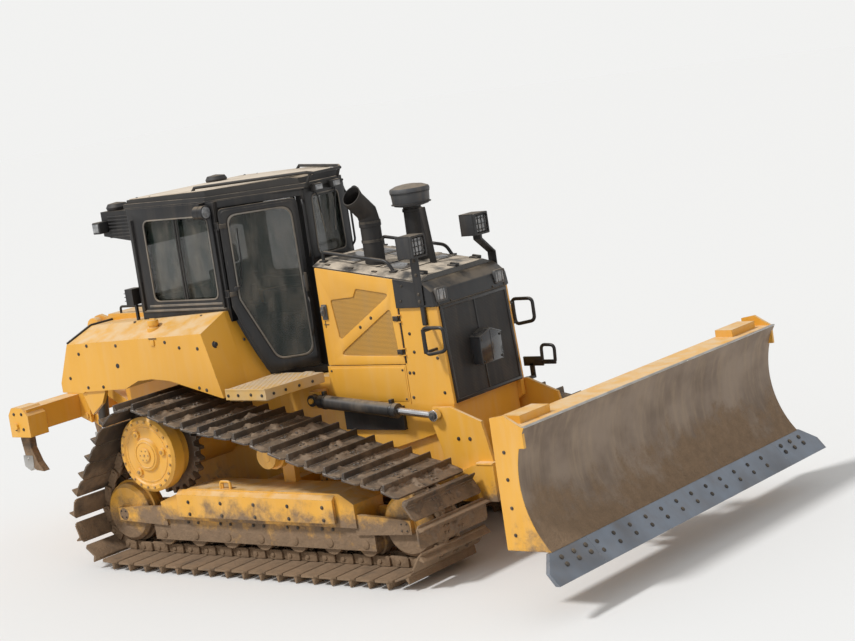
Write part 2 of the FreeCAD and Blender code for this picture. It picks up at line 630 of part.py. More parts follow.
# bonnet: a shallow crowned skin with turned-down edges, lofted from rear to nose
bonnetSections = []
for x in ("hoodRear", "noseFront - 130"):
    edge = hoodLine(x)
    bonnetSections.append((x, [
        ("-hoodHalf", edge + " - 6"), ("-hoodHalf", edge), ("-hoodHalf + 110", edge + " + hoodCrown"),
        ("hoodHalf - 110", edge + " + hoodCrown"), ("hoodHalf", edge), ("hoodHalf", edge + " - 6"),
    ]))
bonnet = lofted("bonnet", "YZ", bonnetSections)
node("hood_top", bonnet)

# black nose: a crowned cowl with a falling front edge and the lamps' recesses
noseOutline = [
    ("doorFront + 2", "noseSeam"), ("doorFront + 2", hoodLine("doorFront + 2") + " - 6"),
    ("noseFront - 120", hoodLine("noseFront - 120") + " - 6"), ("noseFront - 20",
        hoodLine("noseFront - 20") + " - noseDrop"),
    ("noseFront", "noseSeam + 90"), ("noseFront + 6", "noseSeam"),
]
noseBody = prism("nose_cowl", "XZ", noseOutline, "-noseHalf", "noseHalf")
noseHollow = block("nose_hollow", ("doorFront - 10", "noseFront - 60"), ("-noseHalf + 25", "noseHalf - 25"),
                   ("noseSeam - 10", "noseSeam + 110"))
lampHoles = [block(f"head_lamp_hole{i}", ("noseFront - 30", "noseFront + 40"),
                   (f"{i} * 425 - 72", f"{i} * 425 + 72"),
                   ("noseSeam + 34", "noseSeam + 150")) for i in (-1, 1)]
node("hood_nose", trimmed("nose_cut", noseBody, [noseHollow] + lampHoles))
headLamps = [block(f"head_lamp{i}", ("noseFront - 30", "noseFront + 2"),
                   (f"{i} * 425 - 68", f"{i} * 425 + 68"),
                   ("noseSeam + 38", "noseSeam + 146")) for i in (-1, 1)]
node("head_lamps", gathered("head_lamps_pair", headLamps))

grilleSide = [
    ("grilleTopX", "noseSeam"), ("grilleLowX", "grilleLow"), ("grilleLowX - grilleThick", "grilleLow"),
    ("grilleTopX - grilleThick", "noseSeam"),
]
grilleSheet = prism("grille_sheet", "XZ", grilleSide, "-hoodHalf + panelThick", "hoodHalf - panelThick")
# the guard box on the grille, its lid roof-shaped
boxOutline = [("-150", "grilleLow + 260"), ("-150", "grilleLow + 500"), ("0", "grilleLow + 550"),
              ("150", "grilleLow + 500"), ("150", "grilleLow + 260")]
grilleBox = prism("grille_box", "YZ", boxOutline, "grilleTopX - 5", "grilleLowX + 85")
node("radiator_grille", joined("grille_parts", [grilleSheet, grilleBox]))

# Stacks
exhaustFoot = hoodLine("exhaustX") + " + hoodCrown - 26"
exhaustPath = [at("exhaustX", "exhaustY", exhaustFoot), at("exhaustX", "exhaustY", "exhaustBendZ - 60"),
               at("exhaustX", "exhaustY - 22", "exhaustBendZ + 20"),
               at("exhaustX", "exhaustTipY + 40", "exhaustTipZ - 90"),
               at("exhaustX", "exhaustTipY - 30", "exhaustTipZ + 30")]
stackWire = Part.makePolygon(exhaustPath)
stackRings = [Part.Wire(Part.makeCircle(size("exhaustRadius") - wall, exhaustPath[0],
                                        Vector(0, 0, 1))) for wall in (0, 8)]
stackTube = stackWire.makePipeShell([stackRings[0]], True, False,
                                    1).cut(stackWire.makePipeShell([stackRings[1]], True, False, 1))
exhaustTube = shaped("exhaust_tube", stackTube)
tipCut = prism("exhaust_tip_cut", "YZ", [("exhaustTipY - 75", "exhaustTipZ - 170"),
                                         ("exhaustTipY - 400", "exhaustTipZ - 170"),
                                          ("exhaustTipY - 400", "exhaustTipZ + 300"),
                                          ("exhaustTipY + 75", "exhaustTipZ + 300"),
                                          ("exhaustTipY + 75", "exhaustTipZ + 15")],
               "exhaustX - 200", "exhaustX + 200")
stackBand = drum("exhaust_band", "Z", ("exhaustX", "exhaustY"), "exhaustBendZ - 105", "exhaustBendZ - 75",
                 "exhaustRadius + 7")
stackCore = drum("exhaust_core", "Z", ("exhaustX", "exhaustY"), "exhaustBendZ - 120", "exhaustBendZ - 60",
                 "exhaustRadius - 8")
node("exhaust_stack", trimmed("exhaust_open", joined("exhaust_banded", [exhaustTube, stackBand]),
                              [tipCut, bonnet, stackCore]))

cleanerFoot = hoodLine("cleanerX") + " + hoodCrown - 26"
cleanerOutline = [
    ("0", cleanerFoot), ("cleanerPipe + 14", cleanerFoot), ("cleanerPipe + 14", cleanerFoot + " + 66"),
    ("cleanerPipe", cleanerFoot + " + 70"),
    ("cleanerPipe", "cleanerLow - 60"), ("cleanerRadius - 60", "cleanerLow - 8"),
    ("cleanerRadius", "cleanerLow"),
    ("cleanerRadius", "cleanerHigh - 40"), ("cleanerRadius - 50", "cleanerHigh - 8"),
    ("0", "cleanerHigh + 12"),
]
cleaner = turned("precleaner_body", cleanerOutline, "Z", ("cleanerX", "cleanerY", "0"))
breather = strut("breather_post", at("cleanerX + 330", "cleanerY - 90", "hoodHighZ - 200"),
                 at("cleanerX + 300", "cleanerY - 110", "cleanerLow - 60"), "26")
node("air_precleaner", trimmed("precleaner_seated", joined("precleaner_parts", [cleaner, breather]),
                               [bonnet, noseBody]))

# lamp posts stand beside the nose: a straight flat bar on the right, a cranked one on the left
rightBar = block("lamp_bar_right", ("lampPostX - 42", "lampPostX + 42"), ("-noseHalf - 14", "-noseHalf - 2"),
                 ("noseSeam + 20", "lampZ - lampHalf + 15"))
rightFoot = block("lamp_foot_right", ("lampPostX - 42", "lampPostX + 42"), ("-noseHalf - 8", "-noseHalf"),
                  ("noseSeam + 20", "noseSeam + 120"))
rightCase = block("lamp_case_right", ("lampPostX - lampDeep / 2 - 20", "lampPostX + lampDeep / 2 - 20"),
                  ("-noseHalf - 8 - lampHalf", "-noseHalf - 8 + lampHalf"),
                  ("lampZ - lampHalf", "lampZ + lampHalf"))
crank = [("noseHalf + 14", "noseSeam + 20"), ("noseHalf + 14", "noseSeam + 300"),
         ("noseHalf - 150", "lampZ - lampHalf + 10"), ("noseHalf - 150", "lampZ - lampHalf + 60"),
         ("noseHalf - 172", "lampZ - lampHalf + 60"), ("noseHalf - 172", "lampZ - lampHalf"),
         ("noseHalf + 2", "noseSeam + 290"), ("noseHalf", "noseSeam + 20")]
leftBar = prism("lamp_bar_left", "YZ", crank, "lampPostX - 42", "lampPostX + 42")
leftCase = block("lamp_case_left", ("lampPostX - lampDeep / 2 - 20", "lampPostX + lampDeep / 2 - 20"),
                 ("noseHalf - 170 - lampHalf", "noseHalf - 170 + lampHalf"),
                 ("lampZ + 45 - lampHalf", "lampZ + 45 + lampHalf"))
lampPair = [joined("work_lamp_right", [rightBar, rightFoot, rightCase]),
            joined("work_lamp_left", [leftBar, leftCase])]
# grab loops beside the grille and rails along the bonnet
sideLoop = rail("grab_loop_side", [at("noseFront - 125", "-hoodHalf + 2", "noseSeam - 140"),
                                   at("noseFront - 105", "-hoodHalf - 45", "noseSeam - 150"),
                                   at("noseFront - 55", "-hoodHalf - 78", "noseSeam - 172"),
                                   at("noseFront - 43", "-hoodHalf - 82", "noseSeam - 260"),
                                   at("noseFront - 49", "-hoodHalf - 80", "noseSeam - 350"),
                                   at("noseFront - 95", "-hoodHalf - 50", "noseSeam - 378"),
                                   at("noseFront - 117", "-hoodHalf + 2", "noseSeam - 388")], "railRadius")
topRail = rail("bonnet_rail", [at("hoodRear + 60", "-hoodHalf + 90",
                                  hoodLine("hoodRear + 60") + " + hoodCrown - 8"),
                               at("hoodRear + 60", "-hoodHalf + 90", hoodLine("hoodRear + 60") + " + 115"),
                               at("doorFront - 120", "-hoodHalf + 90",
                                  hoodLine("doorFront - 120") + " + 115"),
                               at("doorFront - 60", "-hoodHalf + 90",
                                  hoodLine("doorFront - 60") + " + hoodCrown - 8")], "railRadius")
grabRails = gathered("grab_rails_right", [trimmed("grab_loop_seated", sideLoop, [sideRight]),
                                          trimmed("bonnet_rail_seated", topRail, [bonnet])])
node("grab_rails", both("grab_rails_pair", grabRails))


# Fenders: closed tank boxes over the tracks, lofted from the outer face to the cab
def fenderSection(rearX, rearTop, frontX, frontTop, toeX, toeZ):
    return [("fenderRear", "fenderLow"), ("fenderRear", "fenderLow + 90"), (rearX, rearTop),
            (frontX, frontTop), (toeX, toeZ)]


fenderSections = [
    ("-fenderOut", fenderSection("fenderRear + 165", "fenderRearTop", "fenderFrontX", "fenderFrontTop",
                                 "fenderToeX", "fenderToeZ")),
    ("-fenderShoulder", fenderSection("fenderRear + 205", "shoulderRearTop", "fenderFrontX + 30",
                                      "shoulderFrontTop", "fenderToeX + 30", "fenderToeZ + 40")),
    ("-fenderIn", fenderSection("fenderRear + 205", "shoulderRearTop", "fenderFrontX + 30",
                                "shoulderFrontTop", "fenderToeX + 90", "fenderToeZ + 80")),
]
fenderBody = lofted("fender_tank", "XZ", fenderSections)
archOutline = [
    ("fenderRear + 240", "fenderLow - 300"), ("fenderRear + 300", "fenderLow + 2"),
    ("archX - 430", "fenderLow + 30"), ("archX - 250", "archTop - 15"), ("archX - 60", "archTop"),
    ("archX + 160", "archTop - 18"), ("fenderToeX - 20", "fenderToeZ"),
    ("fenderToeX + 300", "fenderToeZ - 60"), ("fenderToeX + 300", "fenderLow - 300"),
]
archCut = prism("fender_arch", "XZ", archOutline, "-fenderOut - 20", "-fenderIn + 20")
fenderLeg = prism("fender_leg", "XZ", [("fenderRear + 250", "fenderLow - 5"),
                                       ("fenderRear + 560", "fenderLow - 5"),
                                       ("fenderRear + 500", "fenderLow - 110"),
                                       ("fenderRear + 340", "fenderLow - 220")],
                  "-fenderOut + 20", "-fenderOut + 60")
fenderLeg = joined("fender_leg_up", [fenderLeg, prism("fender_leg_root", "XZ",
                                                      [("fenderRear + 250", "fenderLow - 6"),
                                                       ("fenderRear + 560", "fenderLow - 6"),
                   ("fenderRear + 560", "fenderLow + 90"), ("fenderRear + 250", "fenderLow + 90")],
                   "-fenderOut + 20", "-fenderOut + 60")])
fillerCap = drum("filler_cap", "Z", ("-1400", "-1000"), "shoulderRearTop - 60", "shoulderRearTop + 62", "42")
fenderRight = joined("fender_right_parts", [trimmed("fender_arched", fenderBody, [archCut]), fenderLeg,
                                            fillerCap])
node("fender_right", fenderRight)
node("fender_left", mirrored("fender_left_twin", fenderRight))

# round lamps under the roof's edges, a box lamp on each fender's rear
for edge in (-1, 1):
    eaveY = f"{edge} * (roofHalf + 68)"
    eaveLamp = drum(f"eave_lamp{edge}", "X", (eaveY, "roofLow - 82"), "roofBreakX - 60", "roofBreakX + 50",
                    "60")
    near, far = sorted((f"{edge} * cabHalf", f"{edge} * (roofHalf + 76)"), key=size)
    bracket = block(f"eave_bracket{edge}", ("roofBreakX - 36", "roofBreakX - 6"), (near, far),
                    ("roofLow - 28", "roofLow - 0.3"))
    lampPair.append(joined(f"eave_lamp_set{edge}", [eaveLamp, bracket]))
rearStalk = trimmed("rear_lamp_stalk", block("rear_lamp_bar", ("cabRear - 100", "cabRear - 76"),
                                             ("-800", "-776"), ("shoulderRearTop - 40",
                                                 "shoulderRearTop + 190")), [fenderBody])
rearCase = block("rear_lamp_case", ("cabRear - 136", "cabRear - 42"), ("-860", "-740"),
                 ("shoulderRearTop + 180", "shoulderRearTop + 330"))
lampPair.append(both("rear_lamps", joined("rear_lamp_right", [rearStalk, rearCase])))
node("work_lamps", gathered("work_lamps_all", lampPair))

tankOutline = [("caseRear", "caseTop"), ("caseRear - 90", "caseTop + 120"),
               ("caseRear - 90", "tankTop - 160"), ("caseRear", "tankTop"), ("cabRear - 12", "tankTop"),
               ("cabRear - 12", "caseTop")]
node("rear_tank", prism("rear_tank_body", "XZ", tankOutline, "-fenderIn", "fenderIn"))

stepPlan = [("stepRear - 20", "-fenderIn - 10"), ("stepRear", "-stepOut"), ("stepFront", "-stepOut"),
            ("stepFront + 65", "-hoodHalf - 50"), ("stepRear + 40", "-hoodHalf - 50")]
stepPlate = prism("step_plate", "XY", stepPlan, "stepTop - stepThick", "stepTop")
stepArm = block("step_arm", ("-120", "-20"), ("-hoodHalf - 60", "-frameHalf"),
                ("stepTop - stepThick", "stepTop - 10"))
node("step_platforms", both("step_platforms_pair", joined("step_right", [stepPlate, stepArm])))

# Cab: rear part as wide as the fenders, doors turned inward to a narrow windscreen
cabParts = []
cabHingeLevels = ("cabSill + 140", "roofLow - 220")
for edge, word in ((-1, "right"), (1, "left")):
    y = f"{edge} * (cabHalf - postWide / 2)"
    foot, head = "cabSill - 110", "roofLow"
    cabParts.append(block("rear_post_" + word, ("cabRear", "cabRear + postWide"),
                          (f"{y} - postWide / 2", f"{y} + postWide / 2"), (foot, head)))
    cabParts.append(block("centre_post_" + word, ("centrePostX - postWide", "centrePostX"),
                          (f"{y} - postWide / 2", f"{y} + postWide / 2"), (foot, head)))
    cabParts.append(block("side_sill_" + word, ("cabRear", "centrePostX"),
                          (f"{y} - postWide / 2", f"{y} + postWide / 2"), (foot, "cabSill + 50")))
    cabParts.append(block("side_head_" + word, ("cabRear", "centrePostX"),
                          (f"{y} - postWide / 2", f"{y} + postWide / 2"), ("roofLow - 60", head)))
    f = f"{edge} * (frontPostY - 40)"
    cabParts.append(block("front_post_" + word, ("frontPostX + 12", "frontPostX + 86"),
                          (f"{f} - 40", f"{f} + 40"), ("caseTop", head)))
    stopNear, stopFar = sorted((f"{edge} * (frontPostY - 82)", f"{edge} * (frontPostY - 58)"), key=size)
    cabParts.append(block("door_stop_" + word, ("frontPostX - 62", "frontPostX + 20"), (stopNear, stopFar),
                          ("doorSill - 60", "roofLow - 10")))
    cabParts.append(beam("door_head_" + word, at("centrePostX - 40", y, "roofLow - 30"),
                         at("frontPostX + 60", f, "roofLow - 30"), "70", "60"))
    cabParts.append(beam("lower_corner_" + word, at("centrePostX - 40", f"{edge} * (cabHalf - 75)",
                                                    "cabSill - 20"),
                                                    at("centrePostX + 150", f"{edge} * (cabHalf - 230)",
                                                       "doorSill - 70"), "60", "90"))
    cabParts.append(beam("door_sill_" + word, at("centrePostX + 120", f"{edge} * (cabHalf - 215)",
                                                 "doorSill - 75"), at("frontPostX + 60", f, "doorSill - 75"),
                                                 "70", "60"))
cabParts.append(block("rear_sill", ("cabRear", "cabRear + postWide"), ("-cabHalf", "cabHalf"),
                      ("cabSill - 110", "cabSill + 120")))
cabParts.append(block("rear_head", ("cabRear", "cabRear + postWide"), ("-cabHalf", "cabHalf"),
                      ("roofLow - 90", "roofLow")))
cabParts.append(block("front_wall", ("frontPostX + 46", "frontPostX + 80"),
                      ("-frontPostY + 40", "frontPostY - 40"), ("caseTop", "hoodHighZ + 40")))
cabParts.append(block("front_head", ("frontPostX + 30", "frontPostX + 86"),
                      ("-frontPostY + 40", "frontPostY - 40"), ("roofLow - 90", "roofLow")))
for edge in (-1, 1):
    for place, z in enumerate(cabHingeLevels):
        spot = ("centrePostX + cabHingeX", f"{edge} * (cabHalf + cabHingeY)")
        cabParts.append(drum(f"cab_hinge_pin{edge}{place}", "Z", spot, f"{z} - 34", f"{z} + 34",
                             "cabHingePin"))
        near, far = sorted((f"{edge} * (cabHalf - 5)", f"{edge} * (cabHalf + cabHingeY + 6)"), key=size)
        for low, high in (("-34", "-25"), ("25", "34")):
            cabParts.append(block(f"cab_hinge_ear{edge}{place}{low}",
                                  ("centrePostX - 30", "centrePostX + cabHingeX + 4"), (near, far),
                                  (f"{z} + {low}", f"{z} + {high}")))
cabFrame = trimmed("cab_frame_seated", joined("cab_frame_parts", cabParts),
                   [fenderBody, mirrored("fender_tank_twin", fenderBody)])
node("cab_frame", cabFrame)

floorPlan = [("cabRear + postWide + 5", "-fenderIn + 5"), ("centrePostX + 150", "-fenderIn + 5"),
             ("frontPostX + 40", "-frontPostY + 85"),
             ("frontPostX + 40", "frontPostY - 85"), ("centrePostX + 150", "fenderIn - 5"),
             ("cabRear + postWide + 5", "fenderIn - 5")]
floorPlate = prism("floor_plate", "XY", floorPlan, "caseTop", "floorZ")
consoles = [block(f"console{i}", ("seatX - 250", "seatX + 420"), (f"{i} * 410 - 90", f"{i} * 410 + 90"),
                  ("floorZ - 5", "floorZ + 620")) for i in (-1, 1)]
dash = block("dash", ("frontPostX - 95", "frontPostX + 40"), ("-180", "180"), ("floorZ - 5", "floorZ + 800"))
node("cab_floor", trimmed("cab_floor_fitted", joined("cab_floor_parts", [floorPlate] + consoles + [dash]),
                          [cabFrame]))
seatBase = block("seat_pedestal", ("seatX - 200", "seatX + 200"), ("-200", "200"), ("floorZ", "floorZ + 300"))
node("seat_base", seatBase)
seatSide = [("seatX - 330", "floorZ + 300"), ("seatX + 280", "floorZ + 300"),
            ("seatX + 280", "floorZ + 420"), ("seatX - 180", "floorZ + 400"),
            ("seatX - 300", "floorZ + 1150"), ("seatX - 420", "floorZ + 1150")]
node("seat_cushions", prism("seat_shell", "XZ", seatSide, "-seatHalf", "seatHalf"))

roofPlan = [("roofRear", "-roofHalf"), ("roofBreakX", "-roofHalf"), ("roofFrontX", "-roofFrontHalf"),
            ("roofFrontX", "roofFrontHalf"),
            ("roofBreakX", "roofHalf"), ("roofRear", "roofHalf")]
roofPlate = prism("roof_plate", "XY", roofPlan, "roofLow", "roofLow + roofPlate")
# a raised skin on the plate that climbs to the front, its front corners cut along the plate's plan
skinSide = [
    ("roofRear + 14", "roofLow + roofPlate - 4"), ("roofRear + 34", "roofLow + roofThick"),
    ("roofFrontX - 110", "roofLow + roofThick + roofRise"),
    ("roofFrontX - 60", "roofLow + roofThick + roofRise - 16"),
    ("roofFrontX - 40", "roofLow + roofPlate - 4"),
]
roofSkin = prism("roof_skin", "XZ", skinSide, "-roofHalf + 24", "roofHalf - 24")
cornerPlan = [("roofBreakX - 12", "-roofHalf - 10"), ("roofBreakX - 12", "-roofHalf + 24"),
              ("roofFrontX", "-roofFrontHalf + 24"), ("roofFrontX + 40", "-roofHalf - 10")]
skinCorner = prism("roof_corner", "XY", cornerPlan, "roofLow - 20", "roofLow + 200")
roofBody = joined("roof_body", [roofPlate, trimmed("roof_skin_cut", roofSkin,
                                                   [skinCorner, mirrored("roof_corner_twin", skinCorner)])])

glassParts = []
for edge, word in ((-1, "right"), (1, "left")):
    y = f"{edge} * (cabHalf - 40)"
    glassParts.append(block("side_glass_" + word, ("cabRear + postWide + fitGap",
                                                   "centrePostX - postWide - fitGap"),
                                                   (f"{y} - glassThick / 2", f"{y} + glassThick / 2"),
                                                   ("cabSill + 50 + fitGap", "roofLow - 60 - fitGap")))
glassParts.append(block("rear_glass", ("cabRear + 40", "cabRear + 40 + glassThick"),
                        ("-cabHalf + postWide + fitGap", "cabHalf - postWide - fitGap"),
                        ("cabSill + 120 + fitGap", "roofLow - 90 - fitGap")))
glassParts.append(block("front_glass", ("frontPostX + 60", "frontPostX + 60 + glassThick"),
                        ("-frontPostY + 80 + fitGap", "frontPostY - 80 - fitGap"),
                        ("hoodHighZ + 40 + fitGap", "roofLow - 90 - fitGap")))
node("cab_glass", gathered("cab_glass_panes", glassParts))

# doors: drawn flat, then turned about the centre post's edge
doorTurn = math.degrees(math.atan2(size("cabHalf - frontPostY"), size("frontPostX - centrePostX")))
doorLong = math.hypot(size("cabHalf - frontPostY"), size("frontPostX - centrePostX"))
doorAxis = at("centrePostX + cabHingeX", "-cabHalf - cabHingeY", 0)
doorOutline = [("10", "cabSill + 20"), ("10", "roofLow - 66"), (f"{doorLong} - 10", "roofLow - 66"),
               (f"{doorLong} - 10", "doorSill - 30"), ("doorRake", "doorSill - 40")]
doorWindow = [("80", "cabSill + 60"), ("80", "roofLow - 150"), (f"{doorLong} - 80", "roofLow - 150"),
              (f"{doorLong} - 80", "doorSill + 90"), ("doorRake + 50", "doorSill + 50")]
paneOutline = [("80 + fitGap", "cabSill + 60 + fitGap"), ("80 + fitGap", "roofLow - 150 - fitGap"),
               (f"{doorLong} - 80 - fitGap", "roofLow - 150 - fitGap"),
               (f"{doorLong} - 80 - fitGap", "doorSill + 90 + 2 * fitGap"),
               ("doorRake + 50 + fitGap", "doorSill + 50 + 2 * fitGap")]
doorFrame = prism("door_frame", "XZ", [doorOutline, doorWindow], "-doorThick", "0")
doorPane = prism("door_pane", "XZ", paneOutline, "-doorThick / 2 - glassThick / 2",
                 "-doorThick / 2 + glassThick / 2")
for item in (doorFrame, doorPane):
    item.Placement = Placement(doorAxis, Rotation(Vector(0, 0, 1), doorTurn))
doorKnuckles, doorBores = [], []
for place, z in enumerate(cabHingeLevels):
    spot = ("centrePostX + cabHingeX", "-cabHalf - cabHingeY")
    doorKnuckles.append(drum(f"cab_door_knuckle{place}", "Z", spot, f"{z} - 22", f"{z} + 22",
                             "cabHingePin + 6"))
    doorBores.append(drum(f"cab_door_bore{place}", "Z", spot, f"{z} - 30", f"{z} + 30", "cabHingePin + 0.08"))
doorWhole = trimmed("cab_door_bored", joined("cab_door_parts", [doorFrame] + doorKnuckles), doorBores)
node("cab_door_right", doorWhole)
node("door_glass_right", doorPane)
node("cab_door_left", mirrored("cab_door_twin", doorWhole))
node("door_glass_left", mirrored("door_pane_twin", doorPane))

hvacSide = [("hvacRear", "hvacLow + 90"), ("hvacRear", "hvacHigh"), ("cabRear", "hvacHigh"),
            ("cabRear", "hvacLow")]
node("hvac_unit", prism("hvac_case", "XZ", hvacSide, "-hvacHalf", "hvacHalf"))

# domes on the roof, side lamps under its edge and the guard bar round its front
domes = []
for i, (x, y, z) in enumerate((("hvacRear + 112", "-500", "hvacHigh"),
                               ("roofRear + 150", "300", "roofLow + roofThick"))):
    outline = [("0", z), ("95", z), ("105", f"{z} + 30"), ("85", f"{z} + 62"), ("0", f"{z} + 75")]
    domes.append(trimmed(f"dome{i}", turned(f"dome_body{i}", outline, "Z", (x, y, "0")), [roofBody]))
guardSpots = [("roofBreakX - 250", "-roofHalf + 90", "roofLow + roofThick - 10"),
              ("roofBreakX - 190", "-roofHalf + 90", "roofLow + roofThick + 50"),
              ("roofFrontX + 10", "-roofFrontHalf + 30", "roofLow + roofThick + 55"),
              ("roofFrontX + 62", "-roofFrontHalf + 70", "roofLow + roofThick + 40")]
guardSpots += [(x, f"-({y})", z) for x, y, z in reversed(guardSpots)]
guardBar = rail("roof_guard", [at(*spot) for spot in guardSpots], "14")
# the guard's ends run down into the header over the windscreen
guardLegs = [strut(f"roof_guard_leg{edge}", at("roofFrontX + 40", f"{edge} * (roofFrontHalf - 55)",
                                               "roofLow + roofThick + 46"),
                   at("roofFrontX - 20", f"{edge} * (roofFrontHalf - 40)", "roofLow + 20"),
                   "14") for edge in (-1, 1)]
headerLamps = [block(f"header_lamp{i}", ("roofFrontX - 10", "roofFrontX + 46"),
                     (f"{i} * 120 - 55", f"{i} * 120 + 55"),
                     ("roofLow - 42", "roofLow + 22")) for i in (-1, 1)]
node("cab_roof", joined("roof_parts", [roofBody, guardBar] + guardLegs + headerLamps))
node("roof_domes", gathered("roof_domes_all", domes))

# Push frame: side arms, cross box, towers for the lift rods and the nose that holds the swivel
armSide = [
    ("liftPivotX - 95", "liftPivotZ - armHigh / 2"), ("liftPivotX - 95", "liftPivotZ + armHigh / 2"),
    ("crossRear - 300", "liftPivotZ + armHigh / 2 + 20"),
    ("crossRear + 40", "crossTop"), ("crossRear + 40", "crossLow"),
    ("crossRear - 200", "liftPivotZ - armHigh / 2 - 20"),
]
armRight = prism("push_arm", "XZ", armSide, "-armOut", "-armIn")
armBore = drum("push_arm_bore", "Y", ("liftPivotX", "liftPivotZ"), "-armOut - 20", "-armIn + 20",
               "armPin + 0.08")
towerSide = [
    ("liftEyeX - 80", "liftEyeZ - 60"), ("liftEyeX - 50", "liftEyeZ + 60"),
    ("liftEyeX + 140", "liftEyeZ + 62"), ("crossRear + 70", "liftEyeZ - 60"),
    ("crossRear + 150", "crossTop - 20"), ("crossRear", "crossLow + 60"),
    ("liftEyeX + 60", "liftPivotZ + armHigh / 2 - 20"), ("liftEyeX - 10", "liftEyeZ - 280"),
]
tower = prism("tower_plate", "XZ", towerSide, "-towerOut", "-towerIn")
armWhole = joined("push_side", [trimmed("push_arm_bored", armRight, [armBore]), tower])
crossBox = block("cross_box", ("crossRear", "crossRear + crossDeep"), ("-armOut", "armOut"),
                 ("crossLow", "crossTop"))
frameNose = prism("frame_nose", "XY", [("crossRear + crossDeep - 20", "-430"), ("swivelX + 40", "-120"),
                                       ("swivelX + 40", "120"), ("crossRear + crossDeep - 20", "430")],
                                       "swivelZ - 120", "swivelZ + 120")
noseBore = drum("frame_nose_bore", "Z", ("swivelX", "0"), "swivelZ - 200", "swivelZ + 300", "kingPin + 0.08")
noseGap = block("frame_nose_gap", ("swivelX - 120", "swivelX + 300"), ("-300", "300"),
                ("swivelZ - 60", "swivelZ + 60"))
angleEars = []
for edge in (-1, 1):
    for lift in (-1, 1):
        angleEars.append(block(f"angle_ear{edge}{lift}", ("crossRear + crossDeep - 5", "angleBaseX + 28"),
                               (f"{edge} * angleBaseY - 50", f"{edge} * angleBaseY + 50"),
                               (f"swivelZ + {lift} * 45 - 14", f"swivelZ + {lift} * 45 + 14")))
anglePins = [drum(f"angle_base_pin{edge}", "Z", ("angleBaseX", f"{edge} * angleBaseY"), "swivelZ - 58",
                  "swivelZ + 58", "cylinderPin")
             for edge in (-1, 1)]
forkedNose = trimmed("nose_forked", frameNose, [noseBore, noseGap])
node("push_frame", joined("push_frame_parts", [armWhole, mirrored("push_side_twin", armWhole), crossBox,
                                               forkedNose] + angleEars + anglePins))


# Hydraulic cylinders: a bored barrel with a base eye, and a rod with its own eye
def cylinder(name, base, eye, axis, barrelRadius, rodRadius, barrelLong, rodStart):
    run = eye.sub(base)
    way = Vector(run).normalize()
    half = size("liftEyeThick") / 2
    across = {"X": Vector(1, 0, 0), "Y": Vector(0, 1, 0), "Z": Vector(0, 0, 1)}[axis]
    shellStart = 1.3 * size(barrelRadius)

    def along(distance):
        return base.add(Vector(way).multiply(distance))

    def crosswise(word, spot, reach, radius):
        arm = Vector(across).multiply(reach)
        return strut(name + word, spot.sub(arm), spot.add(arm), radius)

    shell = strut(name + "_shell", along(shellStart), along(size(barrelLong)), barrelRadius)
    gland = strut(name + "_gland", along(size(barrelLong) - size("glandLong")), along(size(barrelLong)),
                  f"{barrelRadius} + 5")
    neck = strut(name + "_neck", along(30), along(shellStart + 5), "liftEyeThick / 2 - 1")
    bore = strut(name + "_bore", along(shellStart + 12), along(size(barrelLong) + 20), f"{rodRadius} + 0.3")
    baseEye = crosswise("_base_eye", base, half, "cylinderPin + 27")
    baseBore = crosswise("_base_bore", base, half + 5, "cylinderPin + 0.08")
    barrel = trimmed(name + "_barrel", joined(name + "_barrel_parts", [shell, gland, neck, baseEye]),
                     [bore, baseBore])
    stem = strut(name + "_stem", along(size(rodStart)), eye.sub(Vector(way).multiply(34)), rodRadius)
    rodEye = crosswise("_rod_eye", eye, half, "cylinderPin + 24")
    pinHead = crosswise("_rod_pin", eye, half + 5, "cylinderPin")
    return barrel, joined(name + "_rod_parts", [stem, rodEye, pinHead])


liftBarrel, liftRod = cylinder("lift", at("liftBaseX", "-liftY", "liftBaseZ"),
                               at("liftEyeX", "-liftY", "liftEyeZ"), "Y",
                               "liftBarrel", "liftRod", "liftBarrelLong", "450")
node("lift_barrels", both("lift_barrels_pair", liftBarrel))
node("lift_rods", both("lift_rods_pair", liftRod))
guard = block("cylinder_guard", ("hoodRear + 140", "hoodRear + 810"), ("-hoodHalf - 36", "-hoodHalf"),
              ("railTop - 220", "railTop - 10"))
node("cylinder_guards", both("cylinder_guards_pair", guard))

# Swivel: fork pin to the push frame, pin to the blade's middle, post for the tilt cylinder
postOutline = [
    ("-140", "swivelZ - 130"), ("-140", "tiltZ - 100"), ("tiltBaseY - 60", "tiltZ - 60"),
    ("tiltBaseY - 60", "tiltZ + 60"),
    ("60", "tiltZ + 60"), ("140", "swivelZ + 200"), ("140", "swivelZ - 130"),
]
swivelParts = [
    drum("king_pin", "Z", ("swivelX", "0"), "swivelZ - 140", "swivelZ + 150", "kingPin"),
    drum("king_boss", "Z", ("swivelX", "0"), "swivelZ - 55", "swivelZ + 55", "kingPin + 40"),
    block("swivel_neck", ("swivelX + 20", "tiltX - 60"), ("-90", "90"), ("swivelZ - 55", "swivelZ + 55")),
    prism("swivel_post", "YZ", postOutline, "tiltX - 100", "tiltX - 40"),
    drum("tilt_pin_bar", "X", ("0", "swivelZ"), "tiltX - 50", "bladeBack - 30", "tiltPin"),
    drum("tilt_base_pin", "X", ("tiltBaseY", "tiltZ"), "tiltX - 45", "tiltX + 90", "cylinderPin"),
    block("tilt_ear_bridge", ("tiltX - 41", "tiltX + 86"), ("tiltBaseY - 90", "tiltBaseY - 59"),
          ("tiltZ - 50", "tiltZ + 50")),
]
for word, low, high in (("rear", "tiltX - 41", "tiltX - 8"), ("front", "tiltX + 58", "tiltX + 86")):
    swivelParts.append(block("tilt_ear_" + word, (low, high), ("tiltBaseY - 60", "tiltBaseY + 40"),
                             ("tiltZ - 50", "tiltZ + 50")))
node("blade_swivel", joined("blade_swivel_parts", swivelParts))


